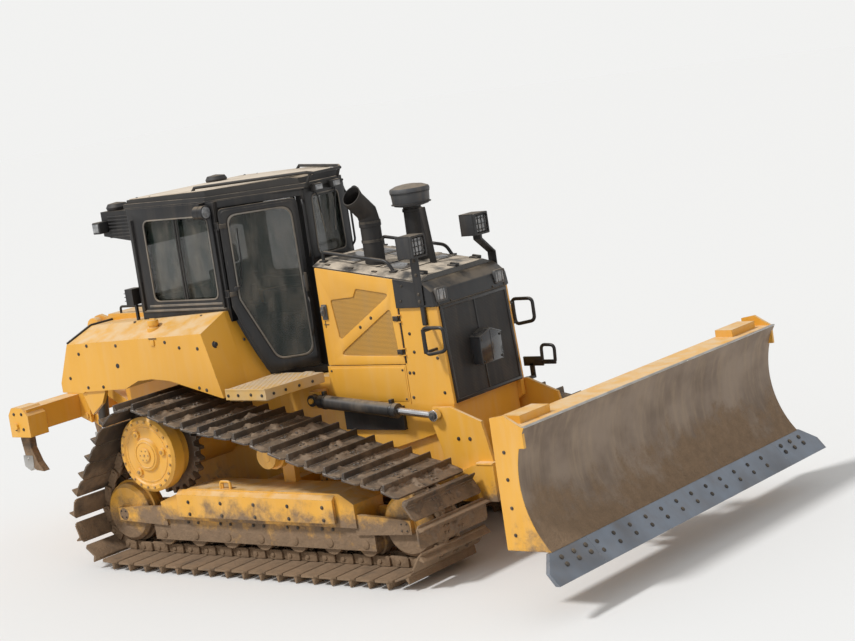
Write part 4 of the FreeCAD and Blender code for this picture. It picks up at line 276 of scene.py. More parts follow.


# under each slot of the solids: its finishes with two tones, roughness and what sets them apart from the plain one
# the yellow's strong pale dust on upward faces is partly a painted sky reflection on its tops
yellow = dict(coat=0.12, wear=0.35, wearColour=(0.11, 0.085, 0.06), wearMetal=0.4, dustAndSheen=0.72, sideDust=0.12,
              dustAndSheenColour=(0.74, 0.56, 0.35))
yellowTone, yellowShade = (0.80, 0.405, 0.047), (0.755, 0.375, 0.045)
looks = {
    "yellow_paint": {
        "yellowPaint": (yellowTone, yellowShade, 0.36, dict(yellow, mud=0.30, mudTop=1.25, mudLow=0.2)),
        "yellowLow": (yellowTone, yellowShade, 0.36, dict(
            yellow, wear=0.6, sideDust=0.20, mud=0.55, mudTop=1.05, mudLow=0.15)),
        "hubBoltPaint": ((0.52, 0.27, 0.05), (0.30, 0.17, 0.06), 0.36, dict(yellow, wear=0.8, sideDust=0.3)),
        "meshPaint": ((0.62, 0.32, 0.05), (0.57, 0.295, 0.05), 0.5, dict(
            dustAndSheen=0.3, sideDust=0.35, dustAndSheenColour=(0.50, 0.33, 0.15), edge=0.0)),
        "bladeFace": ((0.30, 0.225, 0.165), (0.19, 0.135, 0.095), 0.62, dict(
            patchScale=2.2, metal=0.2, wear=0.7, wearColour=(0.30, 0.28, 0.26), wearMetal=0.7, dustAndSheen=0.4,
            sideDust=0.55, dustAndSheenColour=(0.40, 0.30, 0.205), mud=0.55, mudTop=1.5, mudLow=0.35, lumpDepth=0.004)),
        "stepTread": ((0.62, 0.37, 0.10), (0.55, 0.40, 0.22), 0.75, dict(
            patchScale=4.0, dustAndSheen=0.95, sideDust=0.25, dustAndSheenColour=(0.58, 0.45, 0.31), edge=0.003)),
    },
    "black_paint": {
        "blackPaint": ((0.010, 0.010, 0.011), (0.017, 0.016, 0.016), 0.36, dict(
            wear=0.25, wearColour=(0.16, 0.15, 0.14), dustAndSheen=0.42, sideDust=0.05)),
        "roofSkin": ((0.018, 0.017, 0.017), (0.035, 0.031, 0.027), 0.5, dict(
            dustAndSheen=0.95, dustStart=0.85, sideDust=0.02, dustAndSheenColour=(0.44, 0.35, 0.25))),
        "grilleMesh": ((0.014, 0.014, 0.015), (0.03, 0.027, 0.025), 0.5, dict(
            patchScale=3.0, dustAndSheen=0.3, sideDust=0.12, edge=0.0)),
        "roofTop": ((0.46, 0.38, 0.29), (0.58, 0.49, 0.385), 0.85, dict(
            patchScale=2.6, dustAndSheen=0.95, dustStart=0.55, sideDust=0.2, dustAndSheenColour=(0.70, 0.60, 0.48), edge=0.003)),
        "exhaustSteel": ((0.013, 0.012, 0.012), (0.026, 0.022, 0.019), 0.6, dict(
            patchScale=3.5, metal=0.1, wear=0.15, dustAndSheen=0.25, sideDust=0.05)),
        "hoodSkin": ((0.035, 0.034, 0.034), (0.06, 0.056, 0.05), 0.34, dict(
            wear=0.2, dustAndSheen=0.95, dustStart=0.6, sideDust=0.12, dustAndSheenColour=(0.62, 0.52, 0.40))),
        "hoodGloss": ((0.020, 0.023, 0.028), (0.032, 0.034, 0.038), 0.16, dict(
            coat=0.6, dustAndSheen=0.28, dustStart=0.4, sideDust=0.05, dustAndSheenColour=(0.45, 0.365, 0.27))),
        "noseBlack": ((0.009, 0.009, 0.010), (0.016, 0.015, 0.015), 0.34, dict(
            wear=0.2, dustAndSheen=0.5, dustStart=0.5, sideDust=0.03, coat=0.2)),
    },
    "dark_plastic": {
        "darkPlastic": ((0.022, 0.022, 0.024), (0.03, 0.03, 0.031), 0.58, dict(
            dustAndSheen=0.35, sideDust=0.08, grainDepth=0.0012, grain=240.0)),
        "rubberSeal": ((0.13, 0.12, 0.105), (0.20, 0.18, 0.155), 0.75, dict(
            patchScale=4.0, dustAndSheen=0.8, sideDust=0.35, edge=0.002)),
    },
    "grey_plastic": {
        "greyPlastic": ((0.060, 0.062, 0.066), (0.09, 0.09, 0.09), 0.55, dict(dustAndSheen=0.5, sideDust=0.18)),
    },
    "cylinder_paint": {
        "cylinderPaint": ((0.022, 0.021, 0.021), (0.035, 0.032, 0.03), 0.4, dict(
            wear=0.4, dustAndSheen=0.5, sideDust=0.18, mud=0.2, mudTop=1.6, mudLow=0.4)),
    },
    "chromed_rod": {
        "chromedRod": ((0.72, 0.72, 0.73), (0.66, 0.66, 0.68), 0.14, dict(
            metal=1.0, dustAndSheen=0.2, sideDust=0.08, grainDepth=0.0)),
    },
    "track_steel": {
        "trackSteel": ((0.075, 0.062, 0.052), (0.115, 0.088, 0.066), 0.5, dict(
            metal=0.55, wear=1.0, wearColour=(0.42, 0.40, 0.38), wearMetal=0.9, edge=0.007, dustAndSheen=0.6, sideDust=0.35,
            dustStart=0.2, dustAndSheenColour=(0.25, 0.175, 0.11), mud=0.5, mudTop=1.9, mudLow=0.1, lumpDepth=0.004)),
        "linkSteel": ((0.05, 0.04, 0.032), (0.085, 0.062, 0.045), 0.6, dict(
            metal=0.3, wear=0.5, dustAndSheen=0.5, sideDust=0.4, dustAndSheenColour=(0.20, 0.14, 0.09), mud=0.7, mudTop=2.2,
            mudLow=0.1, lumpDepth=0.003)),
        "packedEarth": ((0.215, 0.150, 0.100), (0.120, 0.080, 0.052), 0.94, dict(
            patchScale=5.0, dustAndSheen=0.5, dustAndSheenColour=(0.33, 0.245, 0.165), sideDust=0.2, grainDepth=0.004, grain=70.0,
            lump=24.0, lumpDepth=0.012, edge=0.0)),
        "boltSteel": ((0.05, 0.045, 0.04), (0.09, 0.075, 0.06), 0.5, dict(
            metal=0.5, wear=0.4, wearColour=(0.35, 0.33, 0.31), edge=0.002, dustAndSheen=0.5, sideDust=0.2)),
    },
    "edge_steel": {
        "edgeSteel": ((0.30, 0.34, 0.40), (0.20, 0.215, 0.24), 0.30, dict(
            metal=0.85, wear=0.6, wearColour=(0.55, 0.56, 0.58), wearMetal=1.0, dustAndSheen=0.35, sideDust=0.16,
            dustAndSheenColour=(0.24, 0.17, 0.11))),
        "brightSteel": ((0.52, 0.51, 0.49), (0.40, 0.38, 0.35), 0.3, dict(
            metal=0.85, wear=0.5, dustAndSheen=0.25, sideDust=0.2, patchScale=6.0)),
    },
    "engine_iron": {"engineIron": ((0.06, 0.06, 0.06), (0.09, 0.085, 0.08), 0.7, {})},
    "lamp_lens": {
        "lampLens": ((0.30, 0.31, 0.32), (0.42, 0.43, 0.44), 0.16, dict(dustAndSheen=0.25, sideDust=0.2, grain=60.0)),
        "lensGlass": ((0.17, 0.175, 0.18), (0.34, 0.345, 0.35), 0.12, dict(
            patchScale=30.0, dustAndSheen=0.3, sideDust=0.16, coat=0.8, lump=55.0, lumpDepth=0.004, edge=0.0)),
    },
    "seat_cloth": {
        "seatCloth": ((0.028, 0.028, 0.032), (0.04, 0.04, 0.045), 0.85, dict(
            dustAndSheen=0.2, sideDust=0.04, grain=420.0, grainDepth=0.002)),
    },
}
finishes = {"windowGlass": windowGlass("windowGlass", (0.014, 0.024, 0.020), 0.46)}
for slot, members in looks.items():
    for name, look in members.items():
        finishes[name] = wornFinish(name, *look)
# the last colour given here is the painted shade inside the holes
perforate(finishes["meshPaint"], 0.011, 0.30, (0.07, 0.045, 0.02))
perforate(finishes["grilleMesh"], 0.012, 0.32, (0.002, 0.002, 0.002))

nodeFinish = {
    "yellowPaint": "engine_door_right engine_door_left side_panels fender_right fender_left rear_tank",
    "yellowLow": "final_drives track_frame_right track_frame_left main_frame push_frame blade_swivel ripper_beam "
                 "ripper_bracket ripper_lower_link ripper_upper_link idlers track_rollers pivot_shaft "
                 "equalizer_bar blade",
    "blackPaint": "cab_frame cab_door_right cab_door_left hood_nose radiator_grille work_lamps grab_rails "
                  "cylinder_guards hvac_unit",
    "roofSkin": "cab_roof",
    "hoodSkin": "hood_top",
    "exhaustSteel": "exhaust_stack",
    "stepTread": "step_platforms",
    "darkPlastic": "roof_domes cab_floor seat_base",
    "greyPlastic": "air_precleaner",
    "cylinderPaint": "lift_barrels angle_barrel_right angle_barrel_left tilt_barrel ripper_barrels",
    "chromedRod": "lift_rods angle_rod_right angle_rod_left tilt_rod ripper_rods",
    "trackSteel": "track_right track_left sprockets",
    "edgeSteel": "cutting_edge",
    "linkSteel": "ripper_shanks",
    "engineIron": "engine_block",
    "lampLens": "head_lamps",
    "seatCloth": "seat_cushions",
    "windowGlass": "cab_glass door_glass_right door_glass_left",
}
for finish, members in nodeFinish.items():
    for member in members.split():
        mesh = nodes[member].data
        mesh.materials.clear()
        mesh.materials.append(finishes[finish])
print("finishes on", sum(len(members.split()) for members in nodeFinish.values()), "nodes")


# modelling tools: every shape starts from an operator's cube, cone, circle, grid or a filled outline
def piece(name, bm, finish, body="chassis", smooth=35.0):
    mesh = bpy.data.meshes.new(name)
    bmesh.ops.recalc_face_normals(bm, faces=bm.faces)
    bm.to_mesh(mesh)
    bm.free()
    mesh.materials.append(finishes[finish])
    thing = bpy.data.objects.new(name, mesh)
    scene.collection.objects.link(thing)
    if smooth:
        mesh.shade_smooth()
        mesh.set_sharp_from_angle(angle=math.radians(smooth))
    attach(thing, body)
    return thing


def growing(count):
    return [bmesh.new() for i in range(count)]


def softened(bm, edges, width, segments=2):
    if width > 0:
        bmesh.ops.bevel(bm, geom=edges, offset=width, offset_type="OFFSET", segments=segments, profile=0.5,
                        affect="EDGES", clamp_overlap=True, material=-1)


def merged(bm, part, place=None):
    # adds a part to a growing mesh
    if place is not None:
        bmesh.ops.transform(part, matrix=place, verts=part.verts)
    mesh = asMesh(part)
    bm.from_mesh(mesh)
    bpy.data.meshes.remove(mesh)


def asMesh(bm):
    mesh = bpy.data.meshes.new("template")
    bm.to_mesh(mesh)
    bm.free()
    return mesh


def slab(bm, x, y, z, bevel=0.003, turn=None):
    # a box between three spans, its edges rounded, then turned about its middle if asked
    middle = Vector(((x[0] + x[1]) / 2, (y[0] + y[1]) / 2, (z[0] + z[1]) / 2))
    spans = (abs(x[1] - x[0]), abs(y[1] - y[0]), abs(z[1] - z[0]))
    part = bmesh.new()
    bmesh.ops.create_cube(part, size=1.0)
    bmesh.ops.scale(part, verts=part.verts, vec=spans)
    softened(part, part.edges[:], min(bevel, 0.45 * min(spans)))
    place = Matrix.Translation(middle)
    merged(bm, part, place if turn is None else place @ turn)


def rod(bm, start, end, radius, sides=24, bevel=0.0, tip=None):
    # a round bar between two points; with another tip radius it tapers
    start, end = Vector(start), Vector(end)
    part = bmesh.new()
    bmesh.ops.create_cone(part, cap_ends=True, segments=sides, radius1=radius, radius2=radius if tip is None else tip,
                          depth=(end - start).length)
    if bevel > 0:
        rims = [edge for edge in part.edges if abs(edge.verts[0].co.z - edge.verts[1].co.z) < 1e-6]
        softened(part, rims, bevel)
    turned = (end - start).to_track_quat("Z", "Y").to_matrix().to_4x4()
    merged(bm, part, Matrix.Translation((start + end) / 2) @ turned)


def bolt(bm, spot, direction, radius=0.012, high=0.009, washer=True):
    # a hexagon head on its washer
    way = Vector(direction).normalized()
    spot = Vector(spot)
    if washer:
        rod(bm, spot - way * 0.002, spot + way * 0.0025, radius * 1.35, 14)
    rod(bm, spot, spot + way * high, radius, 6, radius * 0.12)


def bend(here, before, after, back, steps):
    # spots on an arc that cuts the corner between two edges
    start, end = here + before.normalized() * back, here + after.normalized() * back
    shares = [step / steps for step in range(steps + 1)]
    return [start * (1 - share) ** 2 + here * 2 * share * (1 - share) + end * share ** 2 for share in shares]


def rounded(corners, radius, steps=6):
    # the outline with each corner turned on an arc; a radius may be given for each corner
    spots = []
    count = len(corners)
    for i, corner in enumerate(corners):
        here = Vector(corner)
        reach = radius[i] if isinstance(radius, (list, tuple)) else radius
        before, after = Vector(corners[i - 1]) - here, Vector(corners[(i + 1) % count]) - here
        half = before.angle(after) / 2
        if reach <= 0 or half > 1.55:
            spots.append(here)
            continue
        back = min(reach / math.tan(half), 0.48 * before.length, 0.48 * after.length)
        spots += bend(here, before, after, back, steps)
    return spots


def softPath(spots, soft, closed, steps=5):
    # the same for a pipe's line in space, whose ends stay as they are unless it is closed
    spots = [Vector(spot) for spot in spots]
    path = []
    for i, here in enumerate(spots):
        if not closed and i in (0, len(spots) - 1):
            path.append(here)
            continue
        before, after = spots[i - 1] - here, spots[(i + 1) % len(spots)] - here
        path += bend(here, before, after, min(soft, 0.45 * before.length, 0.45 * after.length), steps)
    return path


def grown(corners, reach):
    # an outline moved outward by about the reach, corner by corner
    middle = sum((Vector(corner) for corner in corners), Vector((0, 0))) / len(corners)
    spots = []
    for i, corner in enumerate(corners):
        here = Vector(corner)
        before = (here - Vector(corners[i - 1])).normalized()
        after = (Vector(corners[(i + 1) % len(corners)]) - here).normalized()
        normal = Vector((-(before + after).y, (before + after).x)).normalized()
        if normal.dot(here - middle) < 0:
            normal = -normal
        spots.append(tuple(here + normal * reach / max(0.4, abs(normal.dot(Vector((-after.y, after.x)))))))
    return spots


planes = {
    "XZ": Matrix(((1, 0, 0), (0, 0, 1), (0, 1, 0))).to_4x4(),
    "YZ": Matrix(((0, 0, 1), (1, 0, 0), (0, 1, 0))).to_4x4(),
    "XY": Matrix.Identity(4),
}


def panel(bm, loops, plane, low, high, bevel=0.0, place=None, segments=2):
    # the first outline filled but for the others, drawn out between two levels across its plane
    part = bmesh.new()
    edges = []
    for loop in loops:
        corners = [part.verts.new((spot[0], spot[1], low)) for spot in loop]
        edges += [part.edges.new((corners[i - 1], corners[i])) for i in range(len(corners))]
    bmesh.ops.triangle_fill(part, use_beauty=True, use_dissolve=False, edges=edges)
    bmesh.ops.dissolve_limit(part, angle_limit=0.01, verts=part.verts, edges=part.edges)
    drawn = bmesh.ops.extrude_face_region(part, geom=part.faces[:])
    raised = [item for item in drawn["geom"] if isinstance(item, bmesh.types.BMVert)]
    bmesh.ops.translate(part, verts=raised, vec=(0, 0, high - low))
    bmesh.ops.recalc_face_normals(part, faces=part.faces)
    rims = [edge for edge in part.edges if edge.calc_face_angle(0) > 0.9]
    softened(part, rims, bevel, segments)
    merged(bm, part, planes[plane] if place is None else place @ planes[plane])


def pipe(name, spots, radius, finish, body="chassis", soft=0.04, closed=False):
    # a round bar through the spots, its bends rounded
    curve = bpy.data.curves.new(name, "CURVE")
    curve.dimensions = "3D"
    curve.bevel_depth = radius
    curve.bevel_resolution = 4
    curve.use_fill_caps = True
    line = curve.splines.new("POLY")
    path = softPath(spots, soft, closed)
    line.points.add(len(path) - 1)
    for point, spot in zip(line.points, path):
        point.co = (spot.x, spot.y, spot.z, 1.0)
    line.use_cyclic_u = closed
    line.use_smooth = True
    curve.materials.append(finishes[finish])
    thing = bpy.data.objects.new(name, curve)
    scene.collection.objects.link(thing)
    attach(thing, body)


# the same tools for both sides of the machine: y is given for the left and mirrored for the right
bothSides = ((-1, "right"), (1, "left"))


def slabs(bm, rows, sides=(-1, 1)):
    for side in sides:
        for x, y, z, bevel in rows:
            slab(bm, x, (side * y[0], side * y[1]), z, bevel)


def pins(bm, rows, sides=(-1, 1)):
    # bars across the machine: x, z, near and far y, then what else a rod takes
    for side in sides:
        for x, z, near, far, *rest in rows:
            rod(bm, (x, side * near, z), (x, side * far, z), *rest)


def sideBolts(bm, spots, y, radius=0.011, high=0.008, washer=True, sides=(-1, 1)):
    for side in sides:
        for x, z in spots:
            bolt(bm, (x, side * y, z), (0, side, 0), radius, high, washer)


def boltRing(bm, centre, reach, count, y, radius, high, start=0.0):
    turns = [start + 2 * math.pi * i / count for i in range(count)]
    spots = [(centre[0] + reach * math.cos(turn), centre[1] + reach * math.sin(turn)) for turn in turns]
    sideBolts(bm, spots, y, radius, high, False)


def sidePanels(bm, loops, near, far, bevel=0.0, sides=(-1, 1)):
    for side in sides:
        panel(bm, loops, "XZ", *sorted((side * near, side * far)), bevel)


def sidePipes(name, spots, radius, finish, **more):
    for side, word in bothSides:
        pipe(name + "_" + word, [(x, side * y, z) for x, y, z in spots], radius, finish, **more)


# tracks: shoes, links and packed earth along the same pin line as the frame's loop
chain = {
    "gaugeHalf": 1.143, "shoeHalf": 0.457, "plate": 0.018, "linkHigh": 0.045, "grouser": 0.058, "shoes": 45,
    "sprocket": (-1.310, 1.050), "sprocketReach": 0.404, "idlerReach": 0.330, "idlerZ": 0.453, "rear": -1.857,
    "front": 1.497,
    "leave": 20.0, "meet": 7.0, "crest": (0.010, 1.185), "sagRear": 0.046, "sagFront": 0.032,
}


def arcSpots(centre, reach, start, end, count):
    turns = [math.radians(start + (end - start) * i / count) for i in range(count + 1)]
    return [Vector((centre[0] + reach * math.cos(turn), centre[1] + reach * math.sin(turn))) for turn in turns]


def slackSpots(start, end, sag, count):
    shares = [i / count for i in range(count + 1)]
    return [start.lerp(end, share) - Vector((0, 4 * sag * share * (1 - share))) for share in shares]


def pinSpots(look):
    # equal steps along the line that wraps sprocket and idlers
    sprocket, rear, front = Vector(look["sprocket"]), Vector((look["rear"], look["idlerZ"])), Vector((look["front"],
        look["idlerZ"]))
    rise = math.degrees(math.atan2(sprocket.y - rear.y, sprocket.x - rear.x))
    lean = math.degrees(math.asin((look["sprocketReach"] - look["idlerReach"]) / (sprocket - rear).length))
    back = 90 + rise + lean
    wrap = arcSpots(sprocket, look["sprocketReach"], back, 90 - look["leave"], 40)
    nose = arcSpots(front, look["idlerReach"], 90 - look["meet"], -90, 60)
    heel = arcSpots(rear, look["idlerReach"], 270, back, 60)
    crest = Vector(look["crest"])
    line = wrap + (slackSpots(wrap[-1], crest, look["sagRear"], 30) + slackSpots(crest, nose[0], look["sagFront"],
        30))[1:]
    line += nose[1:] + heel
    line.append(line[0])
    runs = [(line[i + 1] - line[i]).length for i in range(len(line) - 1)]
    pins, place, passed = [], 0, 0.0
    for i in range(look["shoes"]):
        goal = sum(runs) * i / look["shoes"]
        while passed + runs[place] < goal:
            passed += runs[place]
            place += 1
        pins.append(line[place].lerp(line[place + 1], (goal - passed) / runs[place]))
    return pins


def shoePart(look, pitch):
    # a flat plate with clipped corners and one worn grouser
    bm = bmesh.new()
    half, plate, low = look["shoeHalf"], look["plate"], look["linkHigh"]
    clip = 0.028
    outline = [(0.004, -half + clip), (0.004 + clip, -half), (pitch - 0.006 - clip, -half),
               (pitch - 0.006, -half + clip),
               (pitch - 0.006, half - clip), (pitch - 0.006 - clip, half), (0.004 + clip, half), (0.004, half - clip)]
    panel(bm, [outline], "XY", low, low + plate, 0.004)
    base, top = low + plate - 0.003, low + plate + look["grouser"]
    root = 0.022
    section = [(root, base), (root + 0.009, top - 0.006), (root + 0.012, top), (root + 0.022, top),
               (root + 0.025, top - 0.008),
               (root + 0.040, base)]
    panel(bm, [section], "XZ", -half + 0.006, half - 0.006, 0.003)
    slab(bm, (root - 0.020, root + 0.060), (-half + 0.03, half - 0.03), (low + plate - 0.004, low + plate + 0.006),
         0.004)
    for across in (-0.185, -0.115, 0.115, 0.185):
        for along in (0.092, 0.150):
            bolt(bm, (along, across * 0.62, low + plate), (0, 0, 1), 0.013, 0.011, False)
    return bm


def linkPart(look, pitch):
    # offset link plates with pin ends, the pin and its bushing
    bm = bmesh.new()
    high = look["linkHigh"]
    for edge in (-1, 1):
        for start, end, near, far in ((-0.038, 0.118, 0.048, 0.070), (0.096, pitch + 0.038, 0.069, 0.091)):
            corners = [(start, -high + 0.012), (start + 0.02, -high), (end - 0.02, -high), (end, -high + 0.012),
                       (end, high - 0.004),
                       (start, high - 0.004)]
            panel(bm, [rounded(corners, 0.012, 3)], "XZ", *sorted((edge * near, edge * far)), 0.003)
        rod(bm, (pitch, edge * 0.088, 0), (pitch, edge * 0.099, 0), 0.021, 16, 0.003)
    rod(bm, (0, -0.05, 0), (0, 0.05, 0), 0.030, 18)
    return bm


def earthPart(look, pitch, seed):
    # earth packed against the grouser, thicker in some places and fallen out in others
    bm = bmesh.new()
    half = look["shoeHalf"] - 0.012
    bmesh.ops.create_grid(bm, x_segments=9, y_segments=56, size=0.5)
    bmesh.ops.scale(bm, verts=bm.verts, vec=(pitch - 0.072, 2 * half, 1.0))
    bmesh.ops.translate(bm, verts=bm.verts, vec=(0.058 + (pitch - 0.072) / 2, 0, 0))
    for vert in bm.verts:
        spot = Vector((vert.co.x * 9.0, vert.co.y * 8.0, seed * 3.7))
        rough = noise.fractal(spot, 0.7, 2.3, 6)
        near = max(0.0, 1.0 - (vert.co.x - 0.058) / (pitch - 0.072))
        edge = min(1.0, (half - abs(vert.co.y)) / 0.05)
        rise = 0.016 * near ** 2.2 + 0.034 * rough - 0.011
        vert.co.z = look["linkHigh"] + look["plate"] + max(-0.006, min(0.050, rise * edge))
        vert.co.x += 0.006 * noise.noise(spot * 3.0)
    return bm


def stamped(bm, mesh, place):
    # one more copy of a template in a growing mesh
    copy = mesh.copy()
    copy.transform(place)
    bm.from_mesh(copy)
    bpy.data.meshes.remove(copy)


def makeTracks(look):
    pins = pinSpots(look)
    step = (pins[1] - pins[0]).length
    shoe, link = asMesh(shoePart(look, step)), asMesh(linkPart(look, step))
    for side, word in bothSides:
        shoes, links, earth = bmesh.new(), bmesh.new(), bmesh.new()
        for i, pin in enumerate(pins):
            run = (pins[(i + 1) % len(pins)] - pin).normalized()
            turned = Matrix(((run.x, 0, -run.y), (0, -1, 0), (run.y, 0, run.x))).to_4x4()
            turned = turned @ Matrix.Diagonal((1, -1, 1, 1)) if turned.determinant() < 0 else turned
            place = Matrix.Translation((pin.x, side * look["gaugeHalf"], pin.y)) @ turned
            stamped(shoes, shoe, place)
            stamped(links, link, place)
            merged(earth, earthPart(look, step, i + 60 * (side > 0)), place)
        shoePiece = piece("trackShoes_" + word, shoes, "trackSteel")
        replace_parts(shoePiece, "track_" + word)
        piece("trackLinks_" + word, links, "linkSteel")
        piece("trackEarth_" + word, earth, "packedEarth", smooth=60.0)


makeTracks(chain)
print("tracks laid")

# cab: doors, window frames, roof top, lamps, wipers, seat and controls
door = {
    "axis": (-0.570, 0.812), "turn": math.degrees(math.atan2(0.525, 0.505)), "thick": 0.050,
    "outline": ((0.010, 2.255), (0.010, 3.139), (0.7185, 3.139), (0.7185, 1.630), (0.240, 1.620)),
    "outlineRound": (0.05, 0.05, 0.06, 0.05, 0.10),
    "window": ((0.088, 2.325), (0.088, 3.072), (0.652, 3.072), (0.666, 1.740), (0.345, 1.740)),
    "windowRound": (0.14, 0.09, 0.11, 0.10, 0.12),
    "hinges": (2.375, 2.985),
    "bar": ((0.690, -0.052, 2.240), (0.694, -0.092, 2.205), (0.690, -0.096, 1.960), (0.672, -0.056, 1.900)),
    "wiper": ((0.070, -0.058, 2.420), (0.112, -0.070, 2.440), (0.150, -0.064, 2.640), (0.158, -0.060, 2.950)),
    "wiperHub": ((0.070, -0.050, 2.420), (0.070, -0.078, 2.420)),
}


def makeDoor(look, side, word):
    turned = Matrix.Rotation(math.radians(look["turn"]), 4, "Z")
    place = Matrix.Translation((look["axis"][0], -look["axis"][1], 0)) @ turned
    if side > 0:
        place = Matrix.Diagonal((1, -1, 1, 1)) @ place
    body = "cab_door_" + word
    back = -look["thick"]
    outline = rounded(look["outline"], look["outlineRound"])
    inner = rounded(grown(look["outline"], -0.020), look["outlineRound"])
    window = rounded(look["window"], look["windowRound"])
    wide, near, tight = [rounded(grown(look["window"], reach), look["windowRound"]) for reach in (0.012, 0.007,
        -0.007)]
    frameMesh, seal, pane, metal, trim, handle, hub = growing(7)
    panel(frameMesh, [outline, window], "XZ", back, -0.006, 0.004, place)
    panel(frameMesh, [inner, wide], "XZ", back - 0.006, back + 0.002, 0.003, place)
    panel(seal, [near, tight], "XZ", back - 0.007, back + 0.012, 0.002, place)
    panel(pane, [window], "XZ", -0.031, -0.025, 0.0, place)
    for level in look["hinges"]:
        rod(trim, place @ Vector((0, 0, level - 0.022)), place @ Vector((0, 0, level + 0.022)), 0.014, 20, 0.002)
        slab(metal, (0.004, 0.070), (-0.062, -0.048), (level - 0.02, level + 0.02), 0.004)
    slab(metal, (0.676, 0.704), (-0.088, -0.070), (2.300, 2.470), 0.006)
    for level in (2.315, 2.455):
        slab(metal, (0.680, 0.700), (-0.075, -0.050), (level - 0.012, level + 0.012), 0.003)
    slab(handle, (0.668, 0.712), (-0.070, -0.052), (2.335, 2.445), 0.006)
    slab(handle, (0.680, 0.702), (-0.083, -0.062), (2.350, 2.420), 0.005)
    for part in (metal, handle):
        bmesh.ops.transform(part, matrix=place, verts=part.verts)
    doorPiece = piece("cabDoorFrame_" + word, frameMesh, "blackPaint", body)
    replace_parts(doorPiece, "cab_door_" + word)
    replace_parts(piece("cabDoorPane_" + word, pane, "windowGlass", body), "door_glass_" + word)
    piece("cabDoorSeal_" + word, seal, "rubberSeal", body)
    piece("cabDoorHinges_" + word, trim, "blackPaint", body)
    piece("cabDoorFittings_" + word, metal, "boltSteel", body)
    piece("cabDoorLatch_" + word, handle, "greyPlastic", body)
    for name, line, radius in (("cabDoorBar_", look["bar"], 0.009), ("cabDoorWiper_", look["wiper"], 0.005)):
        pipe(name + word, [place @ Vector(spot) for spot in line], radius, "blackPaint", body)
    start, end = [place @ Vector(spot) for spot in look["wiperHub"]]
    rod(hub, start, end, 0.020, 20, 0.004)
    piece("cabDoorWiperHub_" + word, hub, "darkPlastic", body)


for side, word in bothSides:
    makeDoor(door, side, word)

glazing = {
    "sideX": (-1.716, -0.598), "sideHole": ((-1.525, 2.335), (-0.705, 2.335), (-0.705, 3.085), (-1.525, 3.085)),
    "rearY": 0.796, "rearHole": ((-0.690, 2.385), (0.690, 2.385), (0.690, 2.835), (-0.690, 2.835)),
    "frontY": 0.272, "frontHole": ((-0.190, 2.600), (0.190, 2.600), (0.178, 3.135), (-0.178, 3.135)),
    "low": 2.236, "frontLow": 2.560, "high": 3.200,
}


def boxOutline(left, right, low, high):
    return [(left, low), (right, low), (right, high), (left, high)]


def windowFrames(look):
    panels, seals, strips = growing(3)
    low, high = look["low"], look["high"]
    hole = look["sideHole"]
    sidePanels(panels, [rounded(boxOutline(*look["sideX"], low, high), 0.012), rounded(hole, 0.07)], 0.798, 0.808,
               0.003)
    sidePanels(seals, [rounded(grown(hole, 0.006), 0.076), rounded(grown(hole, -0.007), 0.064)], 0.800, 0.812, 0.002)
    slabs(strips, [((x - 0.009, x + 0.009), (0.790, 0.802), (low + 0.105, high - 0.12), 0.002) for x in (-1.135,
        -1.105)])
    slabs(seals, [((start, end), (0.806, 0.818), (level - 0.010, level + 0.010), 0.004)
                  for level, start, end in ((2.296, -1.600, -0.665), (2.252, -1.680, -0.630))])
    for side in (-1, 1):
        for x in (-1.665, -0.640):
            rod(strips, (x, side * 0.822, low + 0.02), (x, side * 0.822, high - 0.10), 0.010, 12, 0.003)
    half = look["rearY"]
    rear = [rounded(boxOutline(-half, half, low, high), 0.012), rounded(look["rearHole"], 0.06)]
    panel(panels, rear, "YZ", -1.730, -1.720, 0.003)
    half, hole = look["frontY"], look["frontHole"]
    front = [rounded(boxOutline(-half, half, look["frontLow"], high), 0.02), rounded(hole, 0.055)]
    panel(panels, front, "YZ", 0.001, 0.009, 0.003)
    panel(seals, [rounded(grown(hole, 0.006), 0.061), rounded(grown(hole, -0.005), 0.05)], "YZ", 0.004, 0.013, 0.002)
    piece("cabPanels", panels, "blackPaint")
    piece("cabWindowSeals", seals, "rubberSeal")
    piece("cabWindowStrips", strips, "blackPaint")


windowFrames(glazing)
sidePipes("screenWiper", [(0.014, 0.135, 3.165), (0.030, 0.120, 3.120), (0.024, 0.095, 2.960)], 0.006, "blackPaint")
sidePipes("screenWiperBlade", [(0.018, 0.118, 3.080), (0.016, 0.070, 2.780)], 0.005, "rubberSeal")
sidePipes("screenBar", [(-0.012, 0.292, 2.600), (0.014, 0.312, 2.640), (0.014, 0.312, 3.060), (-0.012, 0.292, 3.110)],
          0.010, "blackPaint")

# roof: a dusty upper skin inside the rim, with seams and bolts
roof = {"rear": -1.712, "half": 0.772, "break": -0.705, "front": -0.098, "frontHalf": 0.262, "rearZ": 3.2865,
        "frontZ": 3.3180, "railZ": 3.205}


def roofTop(look):
    bm, trim = growing(2)
    rear, seam, front, half = look["rear"], look["break"], look["front"], look["half"]
    right = [(rear, -half), (seam, -half), (front, -look["frontHalf"])]
    panel(bm, [rounded(right + [(x, -y) for x, y in right[::-1]], 0.05)], "XY", 0, 0.006, 0.003)
    for vert in bm.verts:
        vert.co.z += look["rearZ"] + (look["frontZ"] - look["rearZ"]) * (vert.co.x - rear) / (front - rear)
    piece("roofTopSkin", bm, "roofTop")
    slabs(trim, [((rear - 0.02, seam + 0.01), (half + 0.014, half + 0.034), (3.196, 3.214), 0.005)])
    for side in (-1, 1):
        rod(trim, (seam, side * 0.806, look["railZ"]), (0.010, side * 0.262, look["railZ"]), 0.011, 12)
        for i in range(6):
            spot = (rear + 0.08 + 0.17 * i, side * (half - 0.045), look["rearZ"] + 0.008)
            bolt(trim, spot, (0, 0, 1), 0.009, 0.006)
    piece("roofTrim", trim, "blackPaint")


roofTop(roof)

